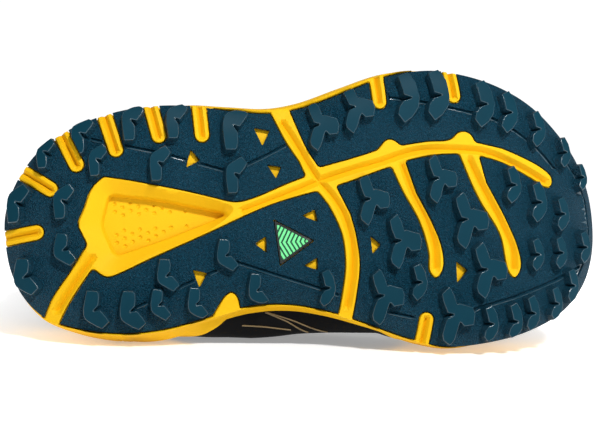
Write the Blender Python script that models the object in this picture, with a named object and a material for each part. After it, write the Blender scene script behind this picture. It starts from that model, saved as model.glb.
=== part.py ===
"""A right trail running shoe, lying on its medial side with its sole to the front (-Y) and its toe to +X.

Every piece is modelled in the shoe's own frame: x from heel to toe, y towards the medial side and z up
from the ground, in metres. One empty then lays the whole shoe down on the plane that it rests on.
Places on the sole are given as shares: along is a share of SOLE_LENGTH from the heel, and across is a share
of SOLE_WIDTH from the sole's axis, positive to the lateral side.
"""

import math

import bmesh
import bpy
import numpy as np
from mathutils import Matrix, Vector
from mathutils.geometry import delaunay_2d_cdt

# Driving dimensions, in metres
SOLE_LENGTH = 0.284
SOLE_WIDTH = 0.125
LUG_DEPTH = 0.0045
LUG_LENGTH = 0.0235
LUG_DRAFT = 0.0005
RUBBER_WALL = 0.0020
FIT_GAP = 0.0003
HEEL_BEVEL = 0.0100
ARCH_RISE = 0.0025
TOE_SPRING = 0.0190
RIM_RISE = 0.0030
RIM_WIDTH = 0.0140
SLOT_WIDTH = 0.0066
SEAT_LIP = 0.0010
CHANNEL_DEPTH = 0.0020
CHANNEL_HALF = 0.0022
CAVITY_DEPTH = 0.0060
FOAM_HEIGHT = 0.0460
SIDE_BULGE = 0.0055
RIM_INSET = 0.0050
RIM_WALL = 0.0024
COLLAR_HEIGHT = 0.0930
UPPER_WALL = 0.0020
OVERLAY_STEP = 0.0009
COLLAR_PADDING = 0.0035
THROAT_WIDTH = 0.0620
TONGUE_WALL = 0.0040
TONGUE_CROWN = 0.0020
TONGUE_RISE = 0.0130
INSOLE_WALL = 0.0040
INLAY_WALL = 0.0012
LACE_WIDTH = 0.0055
LACE_WALL = 0.0014
LACE_CROSSINGS = 6

# The eyelets' rails, as shares of the upper's length, and how far up the rails they lie
EYELET_FRONT = 0.80
EYELET_TOP = 0.40
EYELET_SHARE = 0.90

# Kilograms per cubic metre, for the pose that the shoe rests in
DENSITIES = {
    "outsole_heel": 1150, "outsole_midfoot": 1150, "outsole_forefoot": 1150, "sole_inlay": 1100,
    "midsole": 220, "insole": 180, "upper": 420, "tongue": 180, "laces": 400,
}

# How finely the solids are cut
OUTLINE_POINTS = 96
BORDER_STEP = 0.0055
TREAD_GRID = 0.0150
FOAM_GRID = 0.0200
UPPER_POINTS = 64

# The rubber's outer edge, once round from the back of the heel by the lateral side: along, across
OUTLINE = (
    (0.000, -0.030), (0.008, 0.040), (0.028, 0.125), (0.060, 0.212), (0.100, 0.271), (0.150, 0.320),
    (0.210, 0.356), (0.280, 0.369), (0.350, 0.360), (0.415, 0.362), (0.470, 0.393), (0.540, 0.456),
    (0.610, 0.509), (0.680, 0.530), (0.735, 0.512), (0.800, 0.468), (0.860, 0.404), (0.910, 0.318),
    (0.955, 0.213), (0.982, 0.095), (0.991, -0.035), (0.984, -0.135), (0.962, -0.230), (0.915, -0.332),
    (0.850, -0.409), (0.780, -0.455), (0.705, -0.470), (0.640, -0.436), (0.570, -0.381), (0.510, -0.341),
    (0.450, -0.321), (0.385, -0.328), (0.320, -0.365), (0.250, -0.402), (0.185, -0.415), (0.120, -0.398),
    (0.070, -0.359), (0.037, -0.292), (0.016, -0.207), (0.004, -0.115),
)

# Each rubber pad as runs of points, smooth within a run, that meet in rounded corners: along, across.
# The last run goes round outside the outline, which trims it.
HEEL_PAD = (
    ((0.056, -0.450), (0.077, -0.312), (0.106, -0.209), (0.129, -0.119)),
    ((0.120, -0.079), (0.114, -0.050), (0.123, 0.010), (0.135, 0.086), (0.153, 0.126)),
    ((0.194, 0.114), (0.287, 0.078), (0.326, 0.059), (0.360, 0.045), (0.385, 0.058), (0.445, 0.118),
     (0.472, 0.142)),
    ((0.461, 0.196), (0.437, 0.277), (0.400, 0.460)),
    ((0.200, 0.600), (-0.100, 0.500), (-0.100, -0.550)),
)
MIDFOOT_PAD = (
    ((0.080, -0.450), (0.103, -0.339), (0.129, -0.242), (0.140, -0.206)),
    ((0.150, -0.224), (0.161, -0.237), (0.175, -0.228), (0.227, -0.171), (0.319, -0.073), (0.413, 0.029),
     (0.461, 0.065), (0.492, 0.085)),
    ((0.509, 0.035), (0.522, -0.021), (0.532, -0.084), (0.536, -0.187), (0.531, -0.283), (0.521, -0.450)),
    ((0.300, -0.600),),
)
FOREFOOT_PAD = (
    ((0.437, 0.500), (0.452, 0.374), (0.474, 0.253), (0.495, 0.178)),
    ((0.542, 0.209), (0.583, 0.240), (0.597, 0.254), (0.611, 0.290), (0.626, 0.271)),
    ((0.675, 0.288), (0.719, 0.296), (0.736, 0.323), (0.753, 0.286)),
    ((0.806, 0.267), (0.843, 0.238), (0.880, 0.203), (0.902, 0.165), (0.900, 0.127), (0.886, 0.121),
     (0.862, 0.149), (0.833, 0.182), (0.806, 0.208), (0.765, 0.230)),
    ((0.777, 0.132), (0.812, -0.010), (0.833, -0.118), (0.837, -0.190), (0.823, -0.231), (0.810, -0.200),
     (0.797, -0.065), (0.767, 0.041), (0.750, 0.115), (0.728, 0.236)),
    ((0.700, 0.232), (0.666, 0.219), (0.639, 0.204)),
    ((0.657, 0.090), (0.683, -0.024), (0.699, -0.123), (0.700, -0.195), (0.687, -0.234), (0.674, -0.204),
     (0.674, -0.141), (0.658, -0.018), (0.632, 0.088), (0.613, 0.180)),
    ((0.591, 0.162), (0.558, 0.132), (0.524, 0.106)),
    ((0.547, 0.004), (0.556, -0.073), (0.562, -0.184), (0.557, -0.282), (0.545, -0.480)),
    ((0.800, -0.700), (1.150, -0.400), (1.150, 0.500), (0.800, 0.750)),
)

# Foam slots that run in from the sole's edge, from mouth to inner end: along, across, along, across
SLOTS = (
    (-0.030, -0.108, 0.065, -0.071), (0.003, 0.176, 0.083, 0.061), (0.079, 0.306, 0.117, 0.138),
    (0.148, 0.375, 0.175, 0.192), (0.219, 0.420, 0.241, 0.234), (0.298, 0.420, 0.307, 0.242),
    (0.588, 0.560, 0.594, 0.385), (0.711, 0.590, 0.720, 0.415), (0.658, -0.560, 0.672, -0.352),
)
ARCH_NOTCH = (
    (0.306, -0.450), (0.330, -0.348), (0.344, -0.296), (0.355, -0.280), (0.364, -0.294), (0.370, -0.330),
    (0.376, -0.450),
)

# Three-cornered windows through the rubber, a corner each: along, across
WINDOWS = (
    ((0.288, 0.213), (0.302, 0.179), (0.282, 0.153)), ((0.389, 0.298), (0.413, 0.290), (0.402, 0.239)),
    ((0.408, 0.172), (0.429, 0.166), (0.421, 0.127)), ((0.393, -0.108), (0.409, -0.083), (0.410, -0.138)),
    ((0.294, -0.207), (0.315, -0.217), (0.304, -0.264)), ((0.466, -0.005), (0.485, 0.017), (0.489, -0.025)),
    ((0.472, -0.186), (0.492, -0.158), (0.492, -0.200)), ((0.579, -0.079), (0.595, -0.107), (0.582, -0.139)),
    ((0.722, -0.168), (0.740, -0.200), (0.723, -0.243)),
)
INLAY = ((0.423, -0.023), (0.485, -0.095), (0.433, -0.183))

# Lug outlines, as shares of a lug's length: forward, lateral
LUG_SHAPES = {
    "fork": (
        (-0.27, 0.32), (-0.13, 0.49), (-0.05, 0.41), (0.05, 0.20), (0.28, 0.14), (0.30, -0.14),
        (0.16, -0.18), (0.07, -0.12), (0.04, -0.28), (-0.05, -0.51), (-0.24, -0.32), (-0.19, -0.08),
        (-0.07, -0.01), (-0.21, 0.00),
    ),
    "bow": (
        (-0.16, 0.42), (-0.02, 0.51), (0.05, 0.48), (0.17, 0.24), (0.24, -0.03), (0.15, -0.30),
        (0.01, -0.49), (-0.18, -0.26), (-0.11, -0.05), (0.06, 0.01), (-0.10, 0.06),
    ),
    "hook": (
        (-0.25, 0.20), (-0.02, 0.43), (0.17, 0.53), (0.31, 0.28), (0.10, 0.05), (-0.03, 0.02),
        (0.12, -0.12), (0.12, -0.37), (-0.13, -0.49), (-0.20, -0.24), (-0.26, 0.03),
    ),
}

# The lugs: shape, along, across, length as a share of LUG_LENGTH, and 1 or -1 for a shape flipped across
LUGS = (
    ("hook", 0.188, 0.303, 0.78, 1), ("hook", 0.122, 0.258, 0.68, 1), ("hook", 0.066, 0.200, 0.68, 1),
    ("hook", 0.024, 0.022, 0.80, 1), ("hook", 0.145, 0.178, 0.66, 1), ("hook", 0.095, 0.032, 0.72, 1),
    ("hook", 0.263, 0.312, 0.74, 1), ("hook", 0.355, 0.297, 0.86, 1), ("hook", 0.239, 0.172, 0.74, 1),
    ("hook", 0.359, 0.139, 0.78, 1), ("hook", 0.099, -0.134, 0.72, -1), ("hook", 0.043, -0.226, 0.80, -1),
    ("hook", 0.147, -0.339, 0.80, -1), ("hook", 0.201, -0.342, 0.82, -1), ("hook", 0.243, -0.322, 0.66, -1),
    ("hook", 0.254, -0.221, 0.72, -1), ("hook", 0.300, -0.317, 0.68, -1), ("hook", 0.346, -0.148, 0.72, -1),
    ("hook", 0.396, -0.267, 0.70, -1), ("bow", 0.507, -0.265, 0.78, 1), ("fork", 0.493, 0.322, 1.05, 1),
    ("fork", 0.553, 0.374, 1.04, 1), ("fork", 0.580, 0.051, 1.08, 1), ("fork", 0.630, -0.101, 1.14, 1),
    ("fork", 0.601, -0.301, 1.12, 1), ("fork", 0.694, 0.133, 1.04, 1), ("fork", 0.742, -0.020, 1.20, 1),
    ("fork", 0.773, -0.204, 1.18, 1), ("fork", 0.716, -0.370, 1.18, 1), ("bow", 0.635, 0.430, 1.02, 1),
    ("bow", 0.688, 0.444, 1.02, 1), ("bow", 0.768, 0.408, 1.04, 1), ("bow", 0.813, 0.390, 0.84, 1),
    ("bow", 0.867, 0.331, 0.80, 1), ("bow", 0.919, 0.253, 0.72, 1), ("bow", 0.957, 0.166, 0.66, 1),
    ("bow", 0.818, 0.122, 0.86, 1), ("bow", 0.869, 0.061, 0.90, 1), ("bow", 0.912, 0.021, 0.80, 1),
    ("bow", 0.860, -0.138, 0.76, 1), ("bow", 0.906, -0.128, 0.76, 1), ("bow", 0.957, -0.102, 0.76, 1),
    ("bow", 0.929, -0.250, 0.76, 1), ("bow", 0.774, -0.394, 0.78, 1), ("bow", 0.817, -0.385, 0.80, 1),
    ("bow", 0.849, -0.355, 0.78, 1), ("bow", 0.895, -0.318, 0.74, 1), ("bow", 0.655, -0.245, 0.82, 1),
)

# The recess in the foam under the heel: its mouth and its sunken floor
CAVITY_MOUTH = (
    (0.133, -0.150), (0.124, -0.090), (0.119, -0.050), (0.128, 0.010), (0.140, 0.086), (0.157, 0.116),
    (0.240, 0.085), (0.326, 0.050), (0.357, 0.018), (0.319, -0.062), (0.227, -0.158), (0.168, -0.220),
    (0.145, -0.205),
)
CAVITY_FLOOR = ((0.165, 0.052), (0.155, -0.047), (0.175, -0.150), (0.241, -0.099), (0.345, -0.004), (0.241, 0.034))

# The grooves along the foam channels between the pads
CHANNEL_LINES = (
    ((0.372, 0.012), (0.413, 0.049), (0.461, 0.093), (0.495, 0.126), (0.542, 0.163), (0.591, 0.197),
     (0.658, 0.247), (0.734, 0.255), (0.778, 0.246), (0.852, 0.184), (0.888, 0.145)),
    ((0.436, 0.340), (0.461, 0.249), (0.481, 0.172), (0.495, 0.126), (0.514, 0.077), (0.534, 0.007),
     (0.548, -0.100), (0.549, -0.200), (0.541, -0.330)),
    ((0.633, 0.190), (0.650, 0.090), (0.672, -0.010), (0.686, -0.110), (0.687, -0.190)),
    ((0.747, 0.215), (0.770, 0.110), (0.802, -0.020), (0.822, -0.120), (0.823, -0.190)),
    ((0.138, -0.165), (0.112, -0.255), (0.088, -0.345)),
)

# The foam's side: along, footbed and rim heights as shares of FOAM_HEIGHT, bulges as shares of SIDE_BULGE
# and how far the rim is drawn in as a share of RIM_INSET
FOAM_SECTIONS = (
    # along, footbed, lateral rim, medial rim, lateral bulge, medial bulge, medial inset
    (0.00, 0.67, 1.00, 1.00, 0.10, 0.10, 1.00),
    (0.08, 0.64, 1.00, 1.00, 0.15, 0.20, 1.00),
    (0.14, 0.62, 0.97, 0.97, 0.20, 0.40, 1.00),
    (0.20, 0.61, 0.94, 0.95, 0.25, 0.60, 0.95),
    (0.26, 0.60, 0.90, 0.94, 0.40, 0.85, 0.70),
    (0.32, 0.60, 0.86, 0.93, 0.50, 1.00, 0.30),
    (0.38, 0.59, 0.83, 0.92, 0.50, 0.70, 0.00),
    (0.46, 0.57, 0.80, 0.89, 0.50, 0.30, -0.15),
    (0.55, 0.53, 0.76, 0.82, 0.45, 0.25, 0.20),
    (0.64, 0.49, 0.72, 0.75, 0.30, 0.15, 0.80),
    (0.74, 0.48, 0.71, 0.72, 0.15, 0.10, 1.00),
    (0.85, 0.55, 0.78, 0.78, 0.10, 0.10, 1.00),
    (0.94, 0.65, 0.89, 0.89, 0.10, 0.10, 1.00),
    (1.00, 0.73, 0.97, 0.97, 0.10, 0.10, 1.00),
)

# Rails of the upper, from the back of the heel to the toe. Lengths up are shares of COLLAR_HEIGHT, widths
# of the opening shares of THROAT_WIDTH, the two flares shares of SOLE_WIDTH
UPPER_RAILS = (
    # foot, top, half width, height, rise, lateral flare, medial flare, reach, drop, band foot, band top
    (0.000, 0.012, 0.00, 1.000, 0.26, 0.030, 0.030, 0.10, 0.20, 0.50, 0.82),
    (0.030, 0.028, 0.22, 0.975, 0.26, 0.030, 0.030, 0.10, 0.20, 0.50, 0.82),
    (0.070, 0.070, 0.37, 0.880, 0.24, 0.028, 0.036, 0.14, 0.18, 0.50, 0.80),
    (0.130, 0.125, 0.46, 0.770, 0.20, 0.028, 0.050, 0.20, 0.14, 0.46, 0.78),
    (0.200, 0.190, 0.49, 0.735, 0.16, 0.026, 0.080, 0.24, 0.10, 0.40, 0.78),
    (0.270, 0.255, 0.47, 0.790, 0.18, 0.024, 0.130, 0.30, 0.14, 0.30, 0.78),
    (0.345, 0.315, 0.40, 0.930, 0.20, 0.022, 0.185, 0.42, 0.24, 0.22, 0.76),
    (0.430, 0.365, 0.31, 0.975, 0.20, 0.018, 0.200, 0.52, 0.26, 0.18, 0.74),
    (0.530, 0.425, 0.27, 0.905, 0.19, 0.014, 0.140, 0.56, 0.22, 0.16, 0.74),
    (0.630, 0.480, 0.24, 0.835, 0.18, 0.010, 0.050, 0.56, 0.18, 0.18, 0.74),
    (0.730, 0.528, 0.21, 0.775, 0.17, 0.006, 0.010, 0.54, 0.14, 0.24, 0.76),
    (0.830, 0.567, 0.16, 0.730, 0.16, 0.004, 0.004, 0.52, 0.10, 0.30, 0.80),
    (0.920, 0.590, 0.09, 0.705, 0.15, 0.004, 0.004, 0.50, 0.07, 0.34, 0.84),
    (1.000, 0.600, 0.00, 0.695, 0.15, 0.004, 0.004, 0.50, 0.06, 0.36, 0.86),
)

RAIL_COLUMNS = (
    "foot", "top", "half", "height", "rise", "lateral", "medial", "reach", "drop", "band", "collar",
)

# Where the last's own axis runs: along, across
LAST_AXIS = ((0.0, -0.030), (0.2, -0.030), (0.35, -0.022), (0.5, -0.010), (0.62, 0.000), (1.0, -0.030))

RUBBER = (0.014, 0.052, 0.094)
FOAM = (0.900, 0.500, 0.012)
MINT = (0.160, 0.710, 0.270)
MESH = (0.012, 0.012, 0.014)
TRIM = (0.020, 0.021, 0.024)
SOCK = (0.030, 0.032, 0.036)


def clear_scene():
    for thing in list(bpy.data.objects):
        bpy.data.objects.remove(thing, do_unlink=True)


def material(name, colour, roughness, metallic=0.0):
    """A plain Principled BSDF in the piece's colour."""
    made = bpy.data.materials.new(name)
    made.use_nodes = True
    shader = made.node_tree.nodes["Principled BSDF"]
    shader.inputs["Base Color"].default_value = (*colour, 1.0)
    shader.inputs["Roughness"].default_value = roughness
    shader.inputs["Metallic"].default_value = metallic
    return made


def add_object(name, points, faces, finish, smooth_angle=math.radians(40)):
    """One closed mesh as an object, its faces turned outwards."""
    mesh = bpy.data.meshes.new(name)
    mesh.from_pydata([tuple(map(float, p)) for p in points], [], [tuple(map(int, f)) for f in faces])
    shape = bmesh.new()
    shape.from_mesh(mesh)
    bmesh.ops.remove_doubles(shape, verts=shape.verts, dist=1e-6)
    loose = [v for v in shape.verts if not v.link_faces]
    bmesh.ops.delete(shape, geom=loose, context="VERTS")
    bmesh.ops.recalc_face_normals(shape, faces=shape.faces)
    shape.to_mesh(mesh)
    shape.free()
    mesh.shade_smooth()
    mesh.set_sharp_from_angle(angle=smooth_angle)
    made = bpy.data.objects.new(name, mesh)
    mesh.materials.append(finish)
    bpy.context.scene.collection.objects.link(made)
    return made


def sole_point(along, across):
    """Shares of the sole as plan coordinates, with the medial side at +y."""
    return np.array((along * SOLE_LENGTH, -across * SOLE_WIDTH))


def smooth_run(points, closed=False, steps=8):
    """A centripetal Catmull-Rom curve through the points."""
    pts = np.asarray(points, float)
    if len(pts) < 3 and not closed:
        return pts
    if closed:
        pts = np.vstack([pts[-1], pts, pts[:2]])
    else:
        pts = np.vstack([2 * pts[0] - pts[1], pts, 2 * pts[-1] - pts[-2]])
    out = []
    for p0, p1, p2, p3 in zip(pts, pts[1:], pts[2:], pts[3:]):
        knots = np.cumsum([0.0] + [max(np.linalg.norm(b - a), 1e-9) ** 0.5 for a, b in ((p0, p1), (p1, p2), (p2, p3))])
        t = np.linspace(knots[1], knots[2], steps, endpoint=False)[:, None]
        a1 = ((knots[1] - t) * p0 + (t - knots[0]) * p1) / (knots[1] - knots[0])
        a2 = ((knots[2] - t) * p1 + (t - knots[1]) * p2) / (knots[2] - knots[1])
        a3 = ((knots[3] - t) * p2 + (t - knots[2]) * p3) / (knots[3] - knots[2])
        b1 = ((knots[2] - t) * a1 + (t - knots[0]) * a2) / (knots[2] - knots[0])
        b2 = ((knots[3] - t) * a2 + (t - knots[1]) * a3) / (knots[3] - knots[1])
        out.append(((knots[2] - t) * b1 + (t - knots[1]) * b2) / (knots[2] - knots[1]))
    curve = np.vstack(out)
    return curve if closed else np.vstack([curve, pts[-2]])


def spaced(curve, count, closed=False):
    """The curve again as that many points at even steps of its length."""
    pts = np.vstack([curve, curve[:1]]) if closed else np.asarray(curve)
    run = np.concatenate([[0.0], np.cumsum(np.linalg.norm(np.diff(pts, axis=0), axis=1))])
    stops = np.linspace(0.0, run[-1], count, endpoint=not closed)
    return np.stack([np.interp(stops, run, pts[:, k]) for k in range(pts.shape[1])], axis=1)


def column(table, at, index, key=0):
    """One column of a table, read at other values of its first column."""
    rows = np.array(table)
    return np.interp(at, rows[:, key], rows[:, index])


def rounded_loop(runs, radius, step):
    """A closed loop of smooth runs whose shared corners are rounded off."""
    ends = []
    for run in runs:
        curve = smooth_run([sole_point(*p) for p in run])
        length = np.linalg.norm(np.diff(curve, axis=0), axis=1).sum() if len(curve) > 1 else 0.0
        ends.append(spaced(curve, max(2, int(round(length / step)) + 1)) if length else curve)
    loop = np.vstack(ends)
    out = []
    for before, here, after in zip(np.roll(loop, 1, 0), loop, np.roll(loop, -1, 0)):
        back, ahead = before - here, after - here
        lengths = np.linalg.norm(back), np.linalg.norm(ahead)
        if min(lengths) < 1e-7:
            continue
        turn = math.acos(np.clip(np.dot(back, ahead) / (lengths[0] * lengths[1]), -1, 1))
        if turn > math.radians(140):
            out.append(here)
            continue
        cut = min(radius, 0.45 * lengths[0], 0.45 * lengths[1])
        start, end = here + back / lengths[0] * cut, here + ahead / lengths[1] * cut
        out += [start, 0.25 * start + 0.5 * here + 0.25 * end, end]
    return np.array(out)


def slot_loop(row, half_width, ends=5):
    """A straight slot with a round inner end."""
    mouth, tip = sole_point(*row[:2]), sole_point(*row[2:])
    way = (tip - mouth) / np.linalg.norm(tip - mouth)
    side = np.array((-way[1], way[0])) * half_width
    centre = tip - way * half_width
    arc = [centre + side * math.cos(a) + way * half_width * math.sin(a) for a in np.linspace(0, math.pi, ends)]
    near, far = spaced(np.array([mouth + side, arc[0]]), 5), spaced(np.array([arc[-1], mouth - side]), 5)
    return np.vstack([near, arc[1:-1], far])


def outline_loop(count=OUTLINE_POINTS):
    return spaced(smooth_run([sole_point(*p) for p in OUTLINE], closed=True), count, closed=True)


EDGE = outline_loop(2 * OUTLINE_POINTS)


def line_distance(points, line):
    """How far each plan point lies from a line of points."""
    a, ab = line[:-1], np.diff(line, axis=0)
    rel = points[:, None, :] - a[None]
    t = np.clip((rel * ab).sum(2) / (ab * ab).sum(1), 0, 1)
    return np.linalg.norm(rel - t[..., None] * ab, axis=2).min(1)


def edge_distance(points):
    """How far each plan point lies inside the rubber's outline."""
    return line_distance(points, np.vstack([EDGE, EDGE[:1]]))


def rise(along):
    """How far the tread's base lifts off the ground lengthwise: heel bevel, arch and toe spring."""
    heel = HEEL_BEVEL * np.clip((0.19 - along) / 0.19, 0, 1) ** 2.2
    arch = ARCH_RISE * np.sin(math.pi * np.clip((along - 0.20) / 0.40, 0, 1)) ** 2
    toe = TOE_SPRING * np.clip((along - 0.74) / 0.26, 0, 1.05) ** 1.9
    return heel + arch + toe


def tread_height(points):
    """Height of the rubber's base, the face that the lugs stand on."""
    rim = RIM_RISE * np.clip(1 - edge_distance(points) / RIM_WIDTH, 0, 1) ** 2
    return LUG_DEPTH + rise(points[:, 0] / SOLE_LENGTH) + rim


def tread_normal(points, reach=0.003):
    """Unit vectors out of the tread, away from the foot."""
    dx, dy = np.array((reach, 0)), np.array((0, reach))
    slope_x = (tread_height(points + dx) - tread_height(points - dx)) / (2 * reach)
    slope_y = (tread_height(points + dy) - tread_height(points - dy)) / (2 * reach)
    out = np.stack([slope_x, slope_y, -np.ones(len(points))], axis=1)
    return out / np.linalg.norm(out, axis=1)[:, None]


def inside(loop, points):
    """Which points lie in the closed loop."""
    hit = np.zeros(len(points), bool)
    x, y = points[:, 0], points[:, 1]
    for (x1, y1), (x2, y2) in zip(loop, np.roll(loop, -1, 0)):
        crosses = (y1 > y) != (y2 > y)
        at = (x2 - x1) * (y - y1) / (y2 - y1 if y2 != y1 else 1e-12) + x1
        hit ^= crosses & (x < at)
    return hit


def grid_points(spacing):
    """A staggered grid over the sole's plan."""
    rows = np.arange(-0.6 * SOLE_WIDTH, 0.6 * SOLE_WIDTH, spacing * 0.87)
    found = [
        (x + (spacing / 2 if k % 2 else 0), y)
        for k, y in enumerate(rows)
        for x in np.arange(0, SOLE_LENGTH, spacing)
    ]
    return np.array(found)


def triangulate(loops, lines=(), extra=()):
    """Triangles over the plan with every loop and line as edges. Gives points, triangles, and for each
    triangle the loops that hold it."""
    points, edges, faces = [], [], []
    for loop in loops:
        start = len(points)
        points += [Vector(p) for p in loop]
        faces.append(list(range(start, len(points)))[:: 1 if area(loop) > 0 else -1])
    for line in lines:
        start = len(points)
        points += [Vector(p) for p in line]
        edges += [(k, k + 1) for k in range(start, len(points) - 1)]
    points += [Vector(p) for p in extra]
    verts, _, tris, _, _, held = delaunay_2d_cdt(points, edges, faces, 1, 1e-7)
    return np.array([tuple(v) for v in verts]), np.array(tris), [set(h) for h in held]


def boundary(triangles):
    """Directed edges that only one triangle has."""
    seen = {}
    for a, b, c in triangles:
        for edge in ((a, b), (b, c), (c, a)):
            seen[edge] = True
    return [edge for edge in seen if (edge[1], edge[0]) not in seen]


def lug_loops():
    made = []
    for shape, along, across, share, flip in LUGS:
        size = share * LUG_LENGTH
        centre = sole_point(along, across)
        made.append(np.array([centre + np.array((x, -y * flip)) * size for x, y in LUG_SHAPES[shape]]))
    return made


def rubber_pad(name, runs, finish):
    """One rubber pad: a plate that follows the tread, with its windows and slots cut and its lugs raised."""
    edge = outline_loop()
    pad = rounded_loop(runs, 0.0022, BORDER_STEP)
    cuts = [slot_loop(row, SLOT_WIDTH / 2) for row in SLOTS]
    cuts.append(spaced(smooth_run([sole_point(*p) for p in ARCH_NOTCH]), 11))
    cuts += [np.array([sole_point(*p) for p in corners]) for corners in WINDOWS + (INLAY,)]
    cuts = [c for c in cuts if inside(pad, c).any()]
    lugs = [lug for lug in lug_loops() if inside(pad, lug).any()]
    grid = grid_points(TREAD_GRID)
    clear = inside(edge, grid) & inside(pad, grid) & (edge_distance(grid) > 0.35 * TREAD_GRID)
    for loop in cuts + lugs:
        middle = loop.mean(0)
        clear &= ~inside(middle + (loop - middle) * 1.3, grid)
    points, triangles, held = triangulate([edge, pad] + cuts + lugs, (), grid[clear])
    first_lug = 2 + len(cuts)
    cut_ids, lug_ids = set(range(2, first_lug)), set(range(first_lug, first_lug + len(lugs)))
    kept = [k for k, h in enumerate(held) if {0, 1} <= h and not h & cut_ids]
    raised = [k for k in kept if held[k] & lug_ids]
    base = [triangles[k] for k in kept if not held[k] & lug_ids]
    sole = np.column_stack([points, tread_height(points)])
    normal = tread_normal(points)
    owner = {}
    for k in raised:
        lug = min(held[k] & lug_ids) - first_lug
        for v in triangles[k]:
            owner.setdefault(v, lug)
    caps = {}
    corners = list(sole)
    for v, lug in owner.items():
        middle = lugs[lug].mean(0)
        inward = middle - points[v]
        draft = np.append(inward / np.linalg.norm(inward) * LUG_DRAFT, 0.0)
        caps[v] = len(corners)
        corners.append(sole[v] + normal[v] * LUG_DEPTH + draft)
    faces = [tuple(t) for t in base] + [tuple(caps[v] for v in triangles[k]) for k in raised]
    faces += [(a, b, caps[b], caps[a]) for a, b in boundary([triangles[k] for k in raised])]
    rim = boundary([triangles[k] for k in kept])
    inner, back_faces = pad_back(points, rim)
    top = len(corners)
    corners += list(inner)
    faces += [tuple(top + v for v in face[::-1]) for face in back_faces]
    place = {tuple(np.round(points[v], 7)): v for edge_ in rim for v in edge_}
    back_of = {place[key]: top + k for k, key in enumerate(map(tuple, np.round(inner[:, :2], 7))) if key in place}
    faces += [(b, a, back_of[a], back_of[b]) for a, b in rim]
    return add_object(name, corners, faces, finish)


def pad_back(points, rim):
    """The face that is glued to the foam: the same border with a plain fill."""
    used = sorted({v for edge in rim for v in edge})
    index = {v: k for k, v in enumerate(used)}
    border = points[used]
    chained = [(index[a], index[b]) for a, b in rim]
    loops = [loop[:: 1 if area(border[loop]) > 0 else -1] for loop in ordered_loops(chained)]
    outer = max(loops, key=lambda loop: area(border[loop]))
    extra = np.vstack([grid_points(1.2 * TREAD_GRID), *[line[:-1] for line in rim_contours()]])
    clear = inside(border[outer], extra)
    for loop in loops:
        clear &= line_distance(extra, border[loop + loop[:1]]) > 0.0022
        clear &= (loop is outer) | ~inside(border[loop], extra)
    grid = np.arange(len(extra)) < len(grid_points(1.2 * TREAD_GRID))
    clear &= ~grid | (edge_distance(extra) > 1.1 * RIM_WIDTH)
    verts, _, tris, _, _, held = delaunay_2d_cdt(
        [Vector(p) for p in border] + [Vector(p) for p in extra[clear]], [], loops, 1, 1e-7
    )
    main = loops.index(outer)
    flat = np.array([tuple(v) for v in verts])
    faces = [t for t, h in zip(tris, held) if set(h) == {main}]
    return np.column_stack([flat, tread_height(flat) + RUBBER_WALL]), faces


def area(loop):
    x, y = loop[:, 0], loop[:, 1]
    return 0.5 * (x * np.roll(y, -1) - np.roll(x, -1) * y).sum()


def ordered_loops(edges):
    """Directed edges as loops of vertex indices."""
    after, loops = dict(edges), []
    while after:
        start, nxt = after.popitem()
        loop = [start]
        while nxt != start:
            loop.append(nxt)
            nxt = after.pop(nxt)
        loops.append(loop)
    return loops


def outward(loop):
    """Unit normals of a closed plan loop, pointing out of it."""
    ahead = np.roll(loop, -1, 0) - np.roll(loop, 1, 0)
    side = np.column_stack([ahead[:, 1], -ahead[:, 0]]) * np.sign(area(loop))
    return side / np.linalg.norm(side, axis=1)[:, None]


def medial_share(loop):
    """0 on the lateral side of the last's axis, 1 on the medial side, for each point of a plan loop."""
    axis = -column(LAST_AXIS, loop[:, 0] / SOLE_LENGTH, 1) * SOLE_WIDTH
    return 0.5 + 0.5 * np.clip((loop[:, 1] - axis) / (0.12 * SOLE_WIDTH), -1, 1)


def side_values(loop, lateral, medial):
    """The foam's lateral or medial column at each point of a plan loop, blended across the axis."""
    along = loop[:, 0] / SOLE_LENGTH
    share = medial_share(loop)
    return column(FOAM_SECTIONS, along, lateral) * (1 - share) + column(FOAM_SECTIONS, along, medial) * share


def rim_inset(loop):
    """How far the rim's outer edge lies inside the rubber's outline at each point of it."""
    share = medial_share(loop)
    return RIM_INSET * (1 - share + share * column(FOAM_SECTIONS, loop[:, 0] / SOLE_LENGTH, 6))


def foam_seat(points):
    """Height of the foam's underside, where the rubber is glued."""
    return tread_height(points) + RUBBER_WALL + FIT_GAP


def footbed(points):
    """Height of the foam's upper face, inside its rim."""
    return column(FOAM_SECTIONS, points[:, 0] / SOLE_LENGTH, 1) * FOAM_HEIGHT


def footbed_lines(loop, margin=0.0012):
    """Lines across a plan loop where the footbed's slope changes, so that what lies on it fits it."""
    lines = []
    for row in FOAM_SECTIONS[1:-1]:
        x = row[0] * SOLE_LENGTH
        ahead = np.roll(loop, -1, 0)
        cut = (loop[:, 0] > x) != (ahead[:, 0] > x)
        a, b = loop[cut], ahead[cut]
        y = a[:, 1] + (x - a[:, 0]) * (b[:, 1] - a[:, 1]) / (b[:, 0] - a[:, 0])
        lines.append(np.array([(x, y.min() + margin), (x, y.max() - margin)]))
    return lines


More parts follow.
